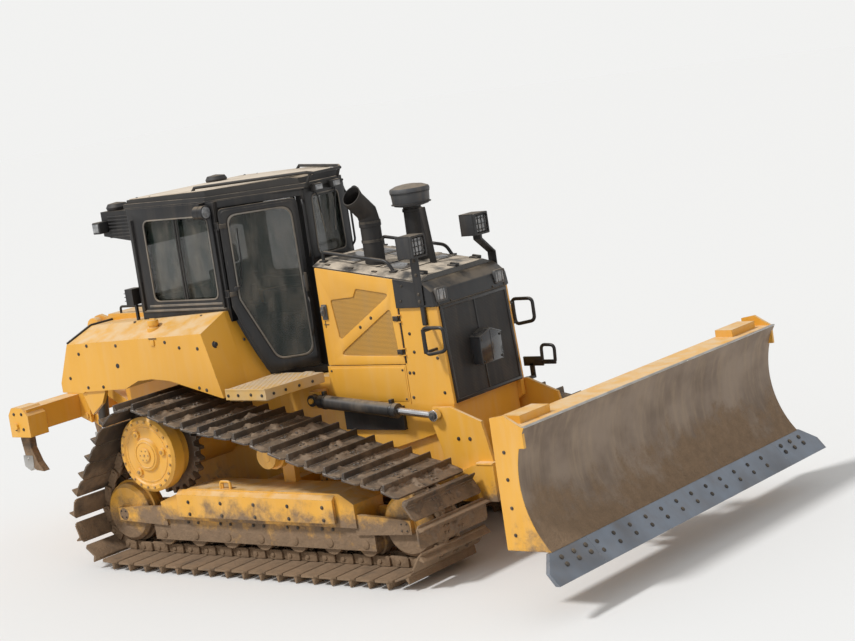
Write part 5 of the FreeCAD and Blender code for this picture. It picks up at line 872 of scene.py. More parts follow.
# round lamps under the roof's edge, box lamps and the cooling unit's louvres behind the cab
cabLamps = {
    "round": (0.868, 3.123),
    "rims": ((-0.652, -0.640, 0.064), (-0.766, -0.758, 0.055), (-0.700, -0.694, 0.063)),
    "lenses": (((0.058, 0.066), (0.075, 0.165), (3.172, 3.218), 0.004),
               ((-1.870, -1.858), (0.752, 0.848), (2.335, 2.455), 0.006),
               ((-2.278, -2.202), (0.733, 0.741), (3.000, 3.080), 0.004)),
    "bars": (2.36, 2.395, 2.43),
    "louvres": (0.618, 0.630, 2.930, 0.032, 7),
}


def makeCabLamps(look):
    rims, lenses = growing(2)
    y, z = look["round"]
    for side in (-1, 1):
        for start, end, reach in look["rims"]:
            rod(rims, (start, side * y, z), (end, side * y, z), reach, 32, 0.003)
        rod(lenses, (-0.644, side * y, z), (-0.634, side * y, z), 0.052, 32, 0.004)
    slabs(lenses, look["lenses"])
    slabs(rims, [((-1.880, -1.868), (0.745, 0.855), (level - 0.003, level + 0.003), 0.001) for level in look["bars"]])
    slabs(rims, [((-2.290, -2.190), (0.622, 0.735), (2.985, 3.095), 0.010)])
    near, far, low, pitch, count = look["louvres"]
    slabs(rims, [((-2.180, -1.800), (near, far), (low + pitch * i, low + 0.014 + pitch * i),
                  0.003) for i in range(count)])
    piece("cabLampRims", rims, "darkPlastic")
    piece("cabLampLenses", lenses, "lensGlass")


makeCabLamps(cabLamps)
print("cab dressed")

# seat and controls, seen through the windows
seat = {"x": -1.000, "floor": 1.590, "lean": -9.0, "fill": 0.75}


def cushion(name, x, y, z, turn):
    bm = bmesh.new()
    bmesh.ops.create_cube(bm, size=1.0)
    bmesh.ops.scale(bm, verts=bm.verts, vec=(x[1] - x[0], 2 * y, z[1] - z[0]))
    bmesh.ops.subdivide_edges(bm, edges=bm.edges[:], cuts=3, use_grid_fill=True)
    softened(bm, [edge for edge in bm.edges if edge.calc_face_angle(0) > 0.8], 0.02, 2)
    middle = Matrix.Translation((seat["x"] + (x[0] + x[1]) / 2, 0, seat["floor"] + (z[0] + z[1]) / 2))
    bmesh.ops.transform(bm, matrix=middle @ Matrix.Rotation(math.radians(turn), 4, "Y"), verts=bm.verts)
    thing = piece(name, bm, "seatCloth", smooth=None)
    thing.data.shade_smooth()
    rounder = thing.modifiers.new("soft", "SUBSURF")
    rounder.levels = rounder.render_levels = 2
    return thing


def makeSeat(look):
    base = cushion("seatCushion", (-0.24, 0.27), 0.25, (0.305, 0.430), 2.0)
    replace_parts(base, "seat_cushions")
    cushion("seatBack", (-0.335, -0.215), 0.24, (0.42, 0.94), look["lean"])
    cushion("seatHeadrest", (-0.385, -0.295), 0.13, (0.945, 1.12), look["lean"])
    x, z = look["x"], look["floor"]
    controls = bmesh.new()
    slabs(controls, [((x - 0.10, x + 0.36), (0.335, 0.445), (z + 0.600, z + 0.655), 0.02)])
    for side in (-1, 1):
        rod(controls, (x + 0.33, side * 0.39, z + 0.65), (x + 0.35, side * 0.39, z + 0.80), 0.022, 16, 0.008, 0.028)
    slab(controls, (-0.205, -0.165), (-0.16, 0.16), (z + 0.79, z + 0.93), 0.015)
    rod(controls, (-0.175, 0, z + 0.70), (-0.175, 0, z + 0.80), 0.02, 12)
    piece("cabControls", controls, "darkPlastic")


makeSeat(seat)
print("seat made")

# engine bay: doors with sunk perforated fields, bonnet, nose, grille, stacks and lamps
bay = {
    "half": 0.505, "hinge": (1.072, 0.517), "hinges": (1.760, 2.050),
    "door": ((0.202, 1.650), (0.202, 2.526), (1.079, 2.388), (1.079, 1.650)),
    "upperField": ((0.334, 2.232), (0.600, 2.250), (0.640, 2.322), (1.018, 2.262), (0.382, 1.872)),
    "lowerField": ((0.998, 2.142), (1.024, 1.722), (0.338, 1.736)),
    "ribBolts": ((0.770, 2.062), (0.635, 1.984)),
    "sideBolts": ((1.115, 1.575), (1.158, 1.574), (1.174, 1.915), (1.197, 1.755), (1.118, 1.360), (0.230, 1.600),
                  (1.040, 1.600), (0.230, 1.345), (1.040, 1.345), (1.465, 1.400), (1.440, 1.700)),
    "slope": 0.156, "gloss": ((0.250, 0.520, -0.300, 0.060), (0.250, 0.520, 0.110, 0.300),
                              (0.850, 1.060, -0.330, -0.120), (0.560, 0.760, 0.100, 0.330),
                              (0.980, 1.080, 0.180, 0.330)),
    "seams": (0.545, 0.815, 1.090), "latches": ((1.290, -0.375), (1.325, 0.020), (1.290, 0.385)),
}


def makeEngineDoor(look, side, word):
    body = "engine_door_" + word
    skin, field, dark, latch = growing(4)
    half = look["half"]
    only = (side,)
    holes = [rounded(look["upperField"], 0.025), rounded(look["lowerField"], 0.03)]
    sidePanels(skin, [rounded(look["door"], 0.014)] + holes, half - 0.028, half, 0.004, only)
    sidePanels(field, [rounded(grown(look["door"], -0.04), 0.02)], half - 0.016, half - 0.010, sides=only)
    x, y = look["hinge"]
    for level in look["hinges"]:
        rod(dark, (x, side * y, level - 0.022), (x, side * y, level + 0.022), 0.0125, 18, 0.002)
        slabs(dark, [((x - 0.055, x - 0.004), (0.503, 0.516), (level - 0.021, level + 0.021), 0.003)], only)
        sideBolts(dark, [(x - along, level) for along in (0.018, 0.042)], 0.515, 0.006, 0.005, False, only)
    sideBolts(dark, look["ribBolts"], half, sides=only)
    slabs(dark, [((0.226, 0.282), (half, half + 0.004), (2.012, 2.020), 0.001),
                 ((0.240, 0.246), (half, half + 0.005), (1.990, 2.050), 0.001)], only)
    slabs(latch, [((0.226, 0.286), (half, half + 0.016), (2.060, 2.196), 0.007),
                  ((0.236, 0.276), (half + 0.012, half + 0.040), (2.096, 2.184), 0.010)], only)
    pins(latch, [(0.256, 2.140, half + 0.010, half + 0.052, 0.014, 20, 0.004)], only)
    doorPiece = piece("engineDoorSkin_" + word, skin, "yellowPaint", body)
    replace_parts(doorPiece, "engine_door_" + word)
    piece("engineDoorField_" + word, field, "meshPaint", body)
    piece("engineDoorBolts_" + word, dark, "boltSteel", body)
    piece("engineDoorLatch_" + word, latch, "greyPlastic", body)


for side, word in bothSides:
    makeEngineDoor(bay, side, word)


def hoodLevel(x):
    return 2.540 - bay["slope"] * (x - 0.190)


def bayTrim(look):
    bolts, gloss, blackBits, lowPlates = growing(4)
    tilt = Matrix.Rotation(math.atan(look["slope"]), 4, "Y")
    sideBolts(bolts, look["sideBolts"], look["half"])
    sidePanels(lowPlates, [rounded(boxOutline(0.215, 1.064, 1.325, 1.628), 0.02)], 0.503, 0.509, 0.003)
    slabs(blackBits, [((1.087, 1.100), (0.500, 0.512), (1.660, 2.135), 0.003)])
    for side in (-1, 1):
        for x in (0.300, 0.560, 0.820):
            slab(bolts, (x, x + 0.05), (side * 0.440, side * 0.470), (hoodLevel(x) + 0.010, hoodLevel(x) + 0.022),
                 0.003, tilt)
    top = 0.0405
    for rear, front, right, left in look["gloss"]:
        level = hoodLevel((rear + front) / 2) + top
        slab(gloss, (rear, front), (right, left), (level - 0.003, level + 0.004), 0.003, tilt)
    for x in look["seams"]:
        level = hoodLevel(x) + top
        slab(blackBits, (x - 0.006, x + 0.006), (-0.392, 0.392), (level - 0.004, level + 0.005), 0.003, tilt)
    for x, y in look["latches"]:
        level = hoodLevel(x) + 0.030
        slab(blackBits, (x - 0.045, x + 0.045), (y - 0.030, y + 0.030), (level - 0.02, level + 0.022), 0.008, tilt)
        slab(blackBits, (x - 0.020, x + 0.070), (y - 0.012, y + 0.012), (level + 0.005, level + 0.036), 0.006, tilt)
    piece("bayBolts", bolts, "boltSteel")
    piece("bonnetGloss", gloss, "hoodGloss")
    piece("bayBlackTrim", blackBits, "blackPaint")
    piece("sidePanelPlates", lowPlates, "yellowPaint")


bayTrim(bay)

nose = {
    "half": 0.530, "rear": 1.087, "brow": 1.392, "low": 2.140, "lampY": 0.418,
    "bolts": ((1.150, 2.200), (1.330, 2.180), (1.180, 2.330)), "seamBolts": (-0.47, -0.30, 0.30, 0.47),
    "grille": ((1.513, 2.136), (1.557, 1.302), (1.538, 1.302), (1.494, 2.136)),
    "border": ((1.519, 2.136), (1.563, 1.302), (1.540, 1.302), (1.496, 2.136)),
    "borders": ((-0.474, -0.440), (0.440, 0.474), (-0.008, 0.008)),
    "guard": ((-0.148, 1.562), (-0.148, 1.795), (0.0, 1.848), (0.148, 1.795), (0.148, 1.562)),
    "guardRoof": ((-0.153, 1.790), (-0.153, 1.803), (0.0, 1.858), (0.153, 1.803), (0.153, 1.790), (0.0, 1.845)),
}


def makeNose(look):
    # a cowl with rounded brow and cheeks; lamps with bezels stand in its front
    cowl, bezels, lens, seam = growing(4)
    rear, brow, low = look["rear"], look["brow"], look["low"]
    profile = [(rear, low), (rear, hoodLevel(rear) - 0.006), (brow, hoodLevel(brow) - 0.004), (1.494, 2.262),
               (1.511, low)]
    profile = rounded(profile, [0.0, 0.01, 0.06, 0.05, 0.008], 8)
    panel(cowl, [profile], "XZ", -look["half"], look["half"], 0.016, segments=4)
    for y in (-look["lampY"], look["lampY"]):
        loop = [(y - 0.076, 2.170), (y + 0.076, 2.170), (y + 0.072, 2.292), (y - 0.072, 2.292)]
        panel(bezels, [rounded(loop, 0.022), rounded(grown(loop, -0.014), 0.014)], "YZ", 1.488, 1.517, 0.004)
        panel(lens, [rounded(grown(loop, -0.012), 0.014)], "YZ", 1.490, 1.510, 0.003)
        for middle in (y - 0.030, y + 0.030):
            slab(bezels, (1.508, 1.514), (middle - 0.002, middle + 0.002), (2.184, 2.278), 0.001)
    slab(seam, (1.496, 1.517), (-0.500, 0.500), (2.136, 2.146), 0.003)
    for y in look["seamBolts"]:
        bolt(seam, (1.509, y, 2.156), (1, 0, 0), 0.009, 0.006)
    sideBolts(seam, look["bolts"], look["half"], 0.010, 0.007)
    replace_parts(piece("noseCowl", cowl, "noseBlack"), "hood_nose")
    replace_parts(piece("noseLenses", lens, "lensGlass"), "head_lamps")
    piece("noseBezels", bezels, "greyPlastic")
    piece("noseBolts", seam, "boltSteel")


def makeGrille(look):
    sheetMesh, borders, box = growing(3)
    panel(sheetMesh, [look["grille"]], "XZ", -0.452, 0.452)
    for near, far in look["borders"]:
        panel(borders, [look["border"]], "XZ", near, far, 0.004)
    for share in (0.02, 0.98):
        x, z = 1.557 - 0.044 * share, 1.302 + 0.834 * share
        slab(borders, (x - 0.016, x + 0.008), (-0.474, 0.474), (z - 0.014, z + 0.014), 0.004)
    panel(box, [look["guard"]], "YZ", 1.520, 1.641, 0.006)
    panel(box, [look["guardRoof"]], "YZ", 1.515, 1.646, 0.003)
    slab(box, (1.636, 1.646), (-0.004, 0.004), (1.575, 1.830), 0.001)
    for y in (-0.13, 0.13):
        for z in (1.585, 1.775):
            bolt(borders, (1.641, y, z), (1, 0, 0), 0.008, 0.006)
    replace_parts(piece("grilleSheet", sheetMesh, "grilleMesh"), "radiator_grille")
    piece("grilleBorders", borders, "noseBlack")
    piece("grilleBox", box, "hoodGloss")


makeNose(nose)
makeGrille(nose)
print("engine bay dressed")

# precleaner with its cap and breather post, and the clamps on the exhaust
stacks = {
    "precleaner": (0.880, 0.130), "exhaust": (0.700, -0.250),
    "body": ((0.0, 2.400), (0.098, 2.400), (0.098, 2.520), (0.084, 2.535), (0.080, 2.935), (0.0, 2.935)),
    "cap": ((0.0, 2.934), (0.110, 2.934), (0.152, 2.944), (0.164, 2.962), (0.172, 3.058), (0.178, 3.064),
            (0.178, 3.084), (0.170, 3.098), (0.120, 3.118), (0.060, 3.127), (0.0, 3.129)),
    "breather": ((1.110, 0.040, 2.390), (1.078, 0.020, 2.925)),
}


def turnedBody(bm, outline, centre, sides=48):
    # radius and height spots spun full circle about a vertical axis
    part = bmesh.new()
    spots = [part.verts.new((radius, 0, level)) for radius, level in outline]
    edges = [part.edges.new((spots[i], spots[i + 1])) for i in range(len(spots) - 1)]
    bmesh.ops.spin(part, geom=spots + edges, cent=(0, 0, 0), axis=(0, 0, 1), angle=2 * math.pi, steps=sides,
                   use_merge=True)
    bmesh.ops.remove_doubles(part, verts=part.verts, dist=1e-5)
    merged(bm, part, Matrix.Translation((centre[0], centre[1], 0)))


def hoops(bm, centre, levels, inner, outer, innerHalf, outerHalf):
    for level in levels:
        turnedBody(bm, ((inner, level - innerHalf), (outer, level - outerHalf), (outer, level + outerHalf),
                        (inner, level + innerHalf)), centre)


def makeStacks(look):
    stack, cap, rim, band = growing(4)
    centre = look["precleaner"]
    turnedBody(stack, look["body"], centre)
    hoops(stack, centre, (2.600, 2.900), 0.078, 0.089, 0.014, 0.012)
    rod(stack, *look["breather"], 0.030, 20, 0.006)
    turnedBody(cap, look["cap"], centre)
    hoops(rim, centre, (2.960, 3.056), 0.160, 0.1765, 0.004, 0.004)
    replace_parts(piece("precleanerBody", stack, "exhaustSteel"), "air_precleaner")
    piece("precleanerCap", cap, "greyPlastic")
    piece("precleanerRim", rim, "darkPlastic")
    hoops(band, look["exhaust"], (2.700, 2.862), 0.091, 0.0965, 0.012, 0.012)
    slab(band, (0.795, 0.815), (-0.262, -0.238), (2.690, 2.712), 0.003)
    piece("exhaustClamps", band, "boltSteel")


makeStacks(stacks)

rails = {
    "loop": ((1.434, 0.642, 1.985), (1.655, 0.642, 1.985), (1.655, 0.642, 1.788), (1.446, 0.642, 1.756)),
    "brackets": (((1.350, 1.394), (0.500, 0.532), (1.985, 2.195), 0.006),
                 ((1.424, 1.452), (0.500, 0.652), (1.948, 1.972), 0.005),
                 ((1.432, 1.460), (0.500, 0.652), (1.768, 1.792), 0.005),
                 ((1.420, 1.456), (0.632, 0.652), (1.765, 1.975), 0.006)),
    "bonnet": ((0.250, 0.032), (0.250, 0.115), (0.965, 0.115), (1.025, 0.032)), "bonnetY": 0.415,
    "hoseY": 0.685, "hose": ((1.645, 1.415), (1.650, 1.560), (1.792, 1.555), (1.782, 1.410)),
    "hoseGuide": (((1.440, 1.655), (1.370, 1.455)), ((1.640, 1.790), (1.385, 1.425)),
                  ((1.500, 1.550), (1.262, 1.400))),
}


def makeRails(look):
    # closed loops that stand beside the grille on two brackets, and a rail along each edge of the bonnet
    brackets, guide = growing(2)
    sidePipes("grabLoop", look["loop"], 0.0160, "blackPaint", soft=0.045, closed=True)
    slabs(brackets, look["brackets"])
    line = [(x, look["bonnetY"], hoodLevel(x) + rise) for x, rise in look["bonnet"]]
    sidePipes("bonnetRail", line, 0.0155, "blackPaint", soft=0.05)
    slabs(brackets, [((x - 0.035, x + 0.035), (0.390, 0.440), (hoodLevel(x) + 0.028, hoodLevel(x) + 0.042), 0.004)
                     for x in (0.250, 1.025)])
    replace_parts(piece("railBrackets", brackets, "blackPaint"), "grab_rails")
    y = look["hoseY"]
    for x, z in look["hoseGuide"]:
        slab(guide, x, (y - 0.009, y + 0.009), z, 0.005)
    slab(guide, (1.500, 1.550), (0.577, y + 0.009), (1.262, 1.286), 0.004)
    piece("hoseGuide", guide, "blackPaint", "push_frame")
    pipe("hoseLoop", [(x, y, z) for x, z in look["hose"]], 0.015, "blackPaint", "push_frame", soft=0.045)


makeRails(rails)

workLamp = {"half": 0.0955, "rear": 1.272, "front": 1.424, "bar": 0.003, "inset": 0.018}


def makeWorkLamp(look, y, z, word):
    shell, glass, guard = growing(3)
    half, rear, front, bar = look["half"], look["rear"], look["front"], look["bar"]
    slab(shell, (rear, front), (y - half, y + half), (z - half, z + half), 0.012)
    loop = boxOutline(y - half, y + half, z - half, z + half)
    panel(shell, [rounded(loop, 0.012), rounded(grown(loop, -0.016), 0.012)], "YZ", front - 0.002, front + 0.020,
          0.003)
    panel(glass, [rounded(grown(loop, -0.026), 0.02)], "YZ", front, front + 0.010, 0.003)
    reach = half - look["inset"]
    for across in (-0.5 * half, 0.0, 0.5 * half):
        for wide, high in ((reach, bar), (bar, reach)):
            right, low = (y, z + across) if high == bar else (y + across, z)
            slab(guard, (front + 0.012, front + 0.018), (right - wide, right + wide), (low - high, low + high), 0.001)
    for i in range(5):
        middle = y - 0.06 + 0.030 * i
        slab(guard, (rear - 0.010, rear + 0.006), (middle - 0.004, middle + 0.004), (z - 0.07, z + 0.07), 0.002)
    piece("workLampShell_" + word, shell, "darkPlastic")
    piece("workLampLens_" + word, glass, "lensGlass")
    piece("workLampGuard_" + word, guard, "blackPaint")


makeWorkLamp(workLamp, -0.538, 2.665, "right")
makeWorkLamp(workLamp, 0.360, 2.710, "left")
postBolts = bmesh.new()
postSpots = {-1: (2.195, 2.255, 2.420, 2.540), 1: (2.175, 2.235, 2.30, 2.30)}
for side, levels in postSpots.items():
    sideBolts(postBolts, [(1.368, level) for level in levels], 0.544, 0.012, 0.009, sides=(side,))
piece("lampPostBolts", postBolts, "boltSteel")
print("lamps fitted")

# fenders, steps, tank
fender = {
    "face": 1.150,
    "bolts": ((-2.300, 1.930), (-2.174, 2.005), (-1.780, 2.000), (-1.131, 2.020), (-0.957, 1.967), (-0.731, 1.955),
              (-2.243, 1.610), (-2.035, 1.615), (-0.784, 1.600), (-0.697, 1.580), (-2.470, 1.700)),
    "hole": (-1.796, 1.813), "cap": (1.041, 1.964), "filler": (-1.400, 1.000, 2.170), "slope": (0.963, 0.0, 0.268),
    "topBolts": ((-1.105, 2.180), (-1.774, 2.160), (-1.560, 2.172), (-0.900, 2.196)),
    "slopeBolts": ((-0.6335, 0.898, 2.089), (-0.543, 0.741, 1.952), (-0.518, 0.626, 1.806), (-0.488, 0.600, 1.673)),
    "strip": ((-2.447, 1.140, 2.030), (-2.408, 0.850, 2.148), (-2.408, 0.560, 2.150)),
    "rail": ((-2.300, 0.540, 2.195), (-2.300, 0.540, 2.262), (-1.900, 0.540, 2.262), (-1.900, 0.540, 2.195)),
}


def fenderTrim(look):
    bolts, caps, dark, edges = growing(4)
    face = look["face"]
    sideBolts(bolts, look["bolts"], face, 0.012)
    # a near-black disc set in the hole of the fender face: painted shade for the inside of the hole
    pins(dark, [(*look["hole"], face - 0.01, face + 0.003, 0.022, 24)])
    x, y, z = look["filler"]
    slope = Vector(look["slope"])
    for side in (-1, 1):
        across, level = look["cap"]
        spot = Vector((-0.663 + 0.278 * (2.087 - level), side * across, level))
        rod(dark, spot - slope * 0.01, spot + slope * 0.022, 0.036, 28, 0.006)
        rod(dark, spot + slope * 0.015, spot + slope * 0.034, 0.020, 20, 0.004)
        rod(caps, (x, side * y, z - 0.08), (x, side * y, z - 0.035), 0.062, 32, 0.004)
        rod(caps, (x, side * y, z - 0.02), (x, side * y, z + 0.034), 0.052, 32, 0.010)
        for along, level in look["topBolts"]:
            bolt(bolts, (along, side * 0.870, level), (0, side * 0.3, 1), 0.013, 0.012)
        for along, across, level in look["slopeBolts"]:
            bolt(bolts, (along, side * across, level), slope, 0.011, 0.008)
    slabs(caps, [((x - 0.035, x + 0.035), (y - 0.007, y + 0.007), (z + 0.028, z + 0.046), 0.004)])
    slabs(dark, [((-1.330, -1.230), (face - 0.004, face + 0.008), (2.052, 2.060), 0.002)])
    slabs(edges, [((-1.305, -1.262), (face - 0.002, face + 0.012), (1.990, 2.045), 0.004),
                  ((-0.640, -0.585), (0.905, 0.985), (1.700, 1.716), 0.004)])
    piece("fenderBolts", bolts, "boltSteel")
    piece("fenderCaps", caps, "yellowPaint")
    piece("fenderDarkBits", dark, "darkPlastic")
    piece("fenderTabs", edges, "yellowPaint")
    sidePipes("tankEdgeStrip", look["strip"], 0.011, "darkPlastic", soft=0.01)
    sidePipes("tankRail", look["rail"], 0.012, "blackPaint")


steps = {
    "treads": (-0.335, 0.600), "pitch": (0.052, 0.043), "rows": (9, 15), "top": 1.600,
    "sideBolts": ((-0.221, 1.553), (-0.068, 1.558), (0.060, 1.550), (-0.340, 1.550)),
    "frontBolts": (0.700, 0.860, 1.020, 1.160),
}


def stepTrim(look):
    treads, bolts, rims = growing(3)
    (rear, near), (along, across), (rows, columns) = look["treads"], look["pitch"], look["rows"]
    for side in (-1, 1):
        for i in range(rows):
            for j in range(columns):
                x, y = rear + along * i + (along / 2 if j % 2 else 0), side * (near + across * j)
                rod(treads, (x, y, look["top"]), (x, y, look["top"] + 0.007), 0.011, 8, 0, 0.007)
        for y in look["frontBolts"]:
            spot = (0.1115 + 0.065 * (1.25 - y) / 0.695, side * y, 1.552)
            bolt(bolts, spot, (1, side * 0.09, 0), 0.010, 0.008)
    sideBolts(bolts, look["sideBolts"], 1.250)
    slabs(rims, [((-0.372, 0.105), (1.236, 1.253), (1.592, 1.610), 0.004),
                 ((-0.350, 0.100), (1.120, 1.235), (1.500, 1.516), 0.004)])
    piece("stepTreads", treads, "stepTread")
    piece("stepBolts", bolts, "boltSteel")
    piece("stepRims", rims, "stepTread")


fenderTrim(fender)
stepTrim(steps)
print("fenders and steps dressed")

# running gear: final drives, idlers, rollers, guards
gear = {
    "hub": (-1.310, 1.050), "hubOut": 1.440, "lugs": (118, 8, 232), "lugReach": 0.205,
    "outer": 1.271, "idlers": ((-1.857, 0.453), (1.497, 0.453)), "rollerZ": 0.2803, "rollers": (-1.387, 1.027, 7),
    "guardBolts": (-0.930, -0.530, -0.130, 0.270, 0.670), "posts": (-0.55, -0.46),
    "eye": ((-0.565, 1.300, 0.710), (-0.565, 1.300, 0.790), (-0.445, 1.300, 0.790), (-0.445, 1.300, 0.710)),
}


def hubTrim(look):
    rings, bolts, caps = growing(3)
    (x, z), out = look["hub"], look["hubOut"]
    boltRing(bolts, (x, z), 0.302, 22, out - 0.012, 0.0125, 0.009)
    boltRing(bolts, (x, z), 0.048, 6, out + 0.014, 0.007, 0.005)
    for radius, thick, y in ((0.250, 0.008, out - 0.026), (0.118, 0.006, out - 0.001)):
        for side in (-1, 1):
            part = bmesh.new()
            turnedBody(part, [(radius - thick, -0.002), (radius - thick / 2, 0.004), (radius + thick / 2, 0.004),
                              (radius + thick, -0.002)], (0, 0), 56)
            merged(rings, part, Matrix.Translation((x, side * y, z)) @ Matrix.Rotation(-side * math.pi / 2, 4, "X"))
    for turn in look["lugs"]:
        across = x + look["lugReach"] * math.cos(math.radians(turn))
        level = z + look["lugReach"] * math.sin(math.radians(turn))
        pins(rings, [(across, level, out - 0.030, out - 0.006, 0.036, 24, 0.006)])
        pins(bolts, [(across, level, out - 0.010, out + 0.002, 0.018, 6, 0.002)])
    pins(caps, [(x, z, out - 0.004, out + 0.014, 0.066, 40, 0.006)])
    pins(bolts, [(x, z, out + 0.012, out + 0.020, 0.012, 6, 0.001)])
    piece("hubRings", rings, "yellowLow")
    piece("hubBolts", bolts, "hubBoltPaint")
    piece("hubCaps", caps, "yellowLow")


def wheelTrim(look):
    caps, bolts, guards = growing(3)
    outer, level = look["outer"], look["rollerZ"]
    for x, z in look["idlers"]:
        pins(caps, [(x, z, outer - 0.004, outer + 0.048, 0.058, 28, 0.006)])
        boltRing(bolts, (x, z), 0.040, 4, outer + 0.048, 0.008, 0.006, math.pi / 4)
    first, last, count = look["rollers"]
    for i in range(count):
        x = first + (last - first) * i / (count - 1)
        pins(caps, [(x, level, outer - 0.004, outer + 0.032, 0.040, 24, 0.005)])
        sideBolts(bolts, [(x - 0.062, level + 0.12), (x + 0.062, level + 0.12)], outer + 0.030, 0.011, 0.009)
    sideBolts(bolts, [(x, z) for x in look["guardBolts"] for z in (0.610, 0.500)], 1.375, 0.013, 0.010)
    for side in (-1, 1):
        for x in look["posts"]:
            rod(guards, (x, side * 1.290, 0.700), (x, side * 1.290, 0.775), 0.012, 16)
    piece("wheelCaps", caps, "linkSteel")
    piece("wheelBolts", bolts, "boltSteel")
    piece("guardEyePosts", guards, "yellowLow")
    sidePipes("guardEye", look["eye"], 0.012, "yellowLow", soft=0.03)


hubTrim(gear)
wheelTrim(gear)
print("running gear dressed")

# blade face, edge bolts, push frame and cylinders
blade = {
    "arc": ((3.300, 1.450), (3.190, 1.000), (3.395, 0.500)), "half": 1.898, "edgeTop": (3.395, 0, 0.500),
    "edgeTip": (3.562, 0, 0.300), "edgeLong": 0.26, "rows": (0.30, 0.62), "rowHalf": 1.38, "pitch": 0.23,
    "bits": (1.52, 1.68, 1.84), "bitRows": (0.24, 0.50),
    "endBolts": ((3.085, 0.620), (3.085, 0.830), (3.085, 1.050), (3.085, 1.260)),
}


def arcThrough(spots, count):
    (ax, ay), (bx, by), (cx, cy) = spots
    d = 2 * (ax * (by - cy) + bx * (cy - ay) + cx * (ay - by))
    aa, bb, cc = ax * ax + ay * ay, bx * bx + by * by, cx * cx + cy * cy
    ux = (aa * (by - cy) + bb * (cy - ay) + cc * (ay - by)) / d
    uy = (aa * (cx - bx) + bb * (ax - cx) + cc * (bx - ax)) / d
    radius = math.hypot(ax - ux, ay - uy)
    first, last = math.atan2(ay - uy, ax - ux) % (2 * math.pi), math.atan2(cy - uy, cx - ux) % (2 * math.pi)
    angles = [first + (last - first) * i / count for i in range(count + 1)]
    return [(ux + radius * math.cos(a), uy + radius * math.sin(a)) for a in angles], (ux, uy), radius


def bladeTrim(look):
    skin, strip, bolts, steel = growing(4)
    arc, (x0, z0), radius = arcThrough(look["arc"], 22)
    outer, inner = [[(x0 + (x - x0) * share, z0 + (z - z0) * share) for x, z in arc]
                    for share in ((radius - 0.003) / radius, (radius + 0.006) / radius)]
    half = look["half"]
    panel(skin, [outer + inner[::-1]], "XZ", -half, half)
    slab(strip, (3.274, 3.306), (-half, half), (1.444, 1.456), 0.004)
    top = Vector(look["edgeTop"])
    down = (Vector(look["edgeTip"]) - top).normalized()
    face = Vector((-down.z, 0, down.x))
    count = int(2 * look["rowHalf"] / look["pitch"])
    heads = [(share, -look["rowHalf"] + look["pitch"] * i, 0.005, 0.019) for share in look["rows"]
             for i in range(count + 1)]
    heads += [(share, side * y, 0.007, 0.021) for side in (-1, 1) for y in look["bits"] for share in look["bitRows"]]
    for share, y, high, reach in heads:
        spot = top + down * look["edgeLong"] * share + Vector((0, y, 0))
        rod(bolts, spot - face * 0.004, spot + face * high, reach, 12, 0.002)
    sideBolts(steel, look["endBolts"], 1.900)
    piece("bladeFaceSkin", skin, "bladeFace", "blade")
    piece("bladeTopStrip", strip, "brightSteel", "blade")
    piece("edgeBolts", bolts, "boltSteel", "blade")
    piece("bladeEndBolts", steel, "boltSteel", "blade")


push = {
    "pin": (0.110, 0.600), "eye": (1.410, 1.230), "trunnion": (0.060, 1.360), "clamps": (0.14, 0.90), "liftY": 0.616,
    "seams": (((0.30, 1.46), (0.636, 0.645), (0.520, 0.532), 0.003),
              ((1.795, 1.965), (0.630, 0.648), (0.812, 0.826), 0.004)),
}


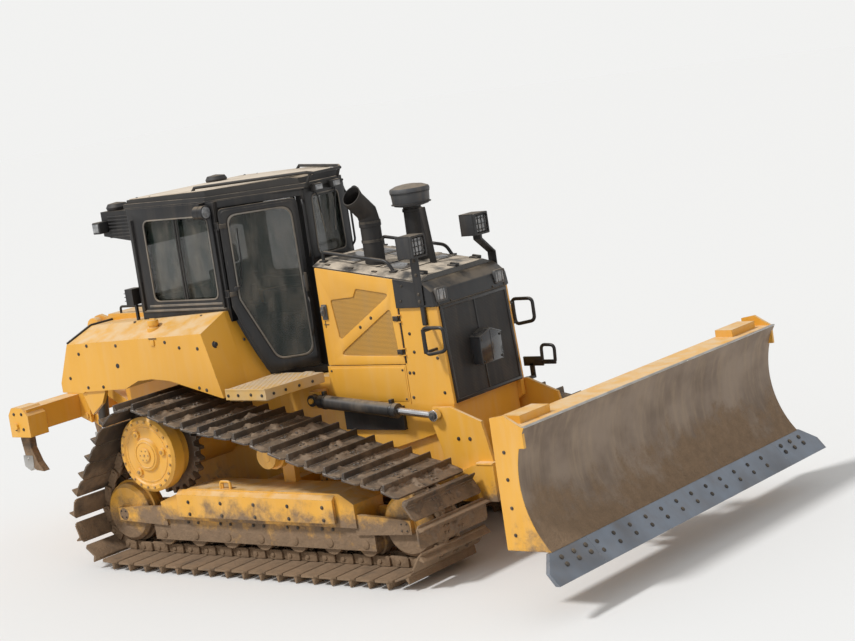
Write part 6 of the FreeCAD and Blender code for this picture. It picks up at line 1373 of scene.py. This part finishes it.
def pushTrim(look):
    caps, bolts, welds, eyes, clamps = growing(5)
    pins(caps, [(*look["pin"], 0.636, 0.668, 0.085, 36, 0.008)])
    boltRing(bolts, look["pin"], 0.062, 6, 0.668, 0.011, 0.008, 0.3)
    slabs(welds, look["seams"])
    sideBolts(bolts, [(1.60, 1.02), (1.72, 1.02)], 0.578, 0.013, 0.010)
    pins(eyes, [(*look["eye"], 0.642, 0.662, 0.034, 28, 0.005), (*look["eye"], 0.660, 0.668, 0.014, 6, 0.001)])
    piece("pushPinCaps", caps, "yellowLow", "push_frame")
    piece("pushBolts", bolts, "boltSteel", "push_frame")
    piece("pushSeams", welds, "yellowLow", "push_frame")
    piece("liftPinCaps", eyes, "engineIron", "push_frame")
    start, end = [Vector((x, 0, z)) for x, z in (look["trunnion"], look["eye"])]
    along = (end - start).normalized()
    for side in (-1, 1):
        for reach in look["clamps"]:
            x, y, z = start + along * reach + Vector((0, side * look["liftY"], 0))
            spot = Vector((x, y, z))
            rod(clamps, spot - along * 0.014, spot + along * 0.014, 0.066, 32, 0.003)
            slab(clamps, (x - 0.016, x + 0.016), (y - 0.022, y + 0.022), (z + 0.058, z + 0.098), 0.004)
    piece("liftClamps", clamps, "blackPaint", "lift_barrels")


bladeTrim(blade)
pushTrim(push)
print("blade and push frame dressed")

# ripper: cylinder heads, pin caps and shank tips
ripper = {
    "head": (-2.800, 2.060), "linkPins": ((-2.540, 0.760), (-2.540, 1.170)),
    "beamBolts": ((-3.480, 1.180), (-3.480, 1.330), (-3.370, 1.180), (-3.370, 1.330)), "shanks": (-0.955, 0.0, 0.955),
    "tip": ((-3.536, 0.900), (-3.394, 0.900), (-3.402, 0.792), (-3.452, 0.744), (-3.536, 0.790)),
    "tipRound": (0.006, 0.006, 0.03, 0.01, 0.03), "tipPin": (-3.470, 0.862),
}


def ripperTrim(look):
    bosses, headPins, caps, beam, tips = growing(5)
    pins(bosses, [(*look["head"], 0.405, 0.475, 0.088, 36, 0.010)])
    pins(headPins, [(*look["head"], 0.475, 0.486, 0.026, 24, 0.004)])
    for spot in look["linkPins"]:
        pins(caps, [(*spot, 0.365, 0.388, 0.050, 28, 0.006), (*spot, 0.386, 0.394, 0.016, 6, 0.001)])
    sideBolts(beam, look["beamBolts"], 1.070, 0.012, 0.009)
    for y in look["shanks"]:
        panel(tips, [rounded(look["tip"], look["tipRound"])], "XZ", y - 0.044, y + 0.044, 0.008)
        pins(tips, [(*look["tipPin"], y - 0.050, y + 0.050, 0.014, 16, 0.002)], (1,))
    piece("ripperHeads", bosses, "yellowPaint", "ripper_barrels")
    piece("ripperHeadPins", headPins, "engineIron", "ripper_barrels")
    piece("ripperPinCaps", caps, "engineIron")
    piece("ripperBeamBolts", beam, "boltSteel", "ripper_beam")
    piece("shankTips", tips, "brightSteel", "ripper_beam")


ripperTrim(ripper)
print("ripper dressed")
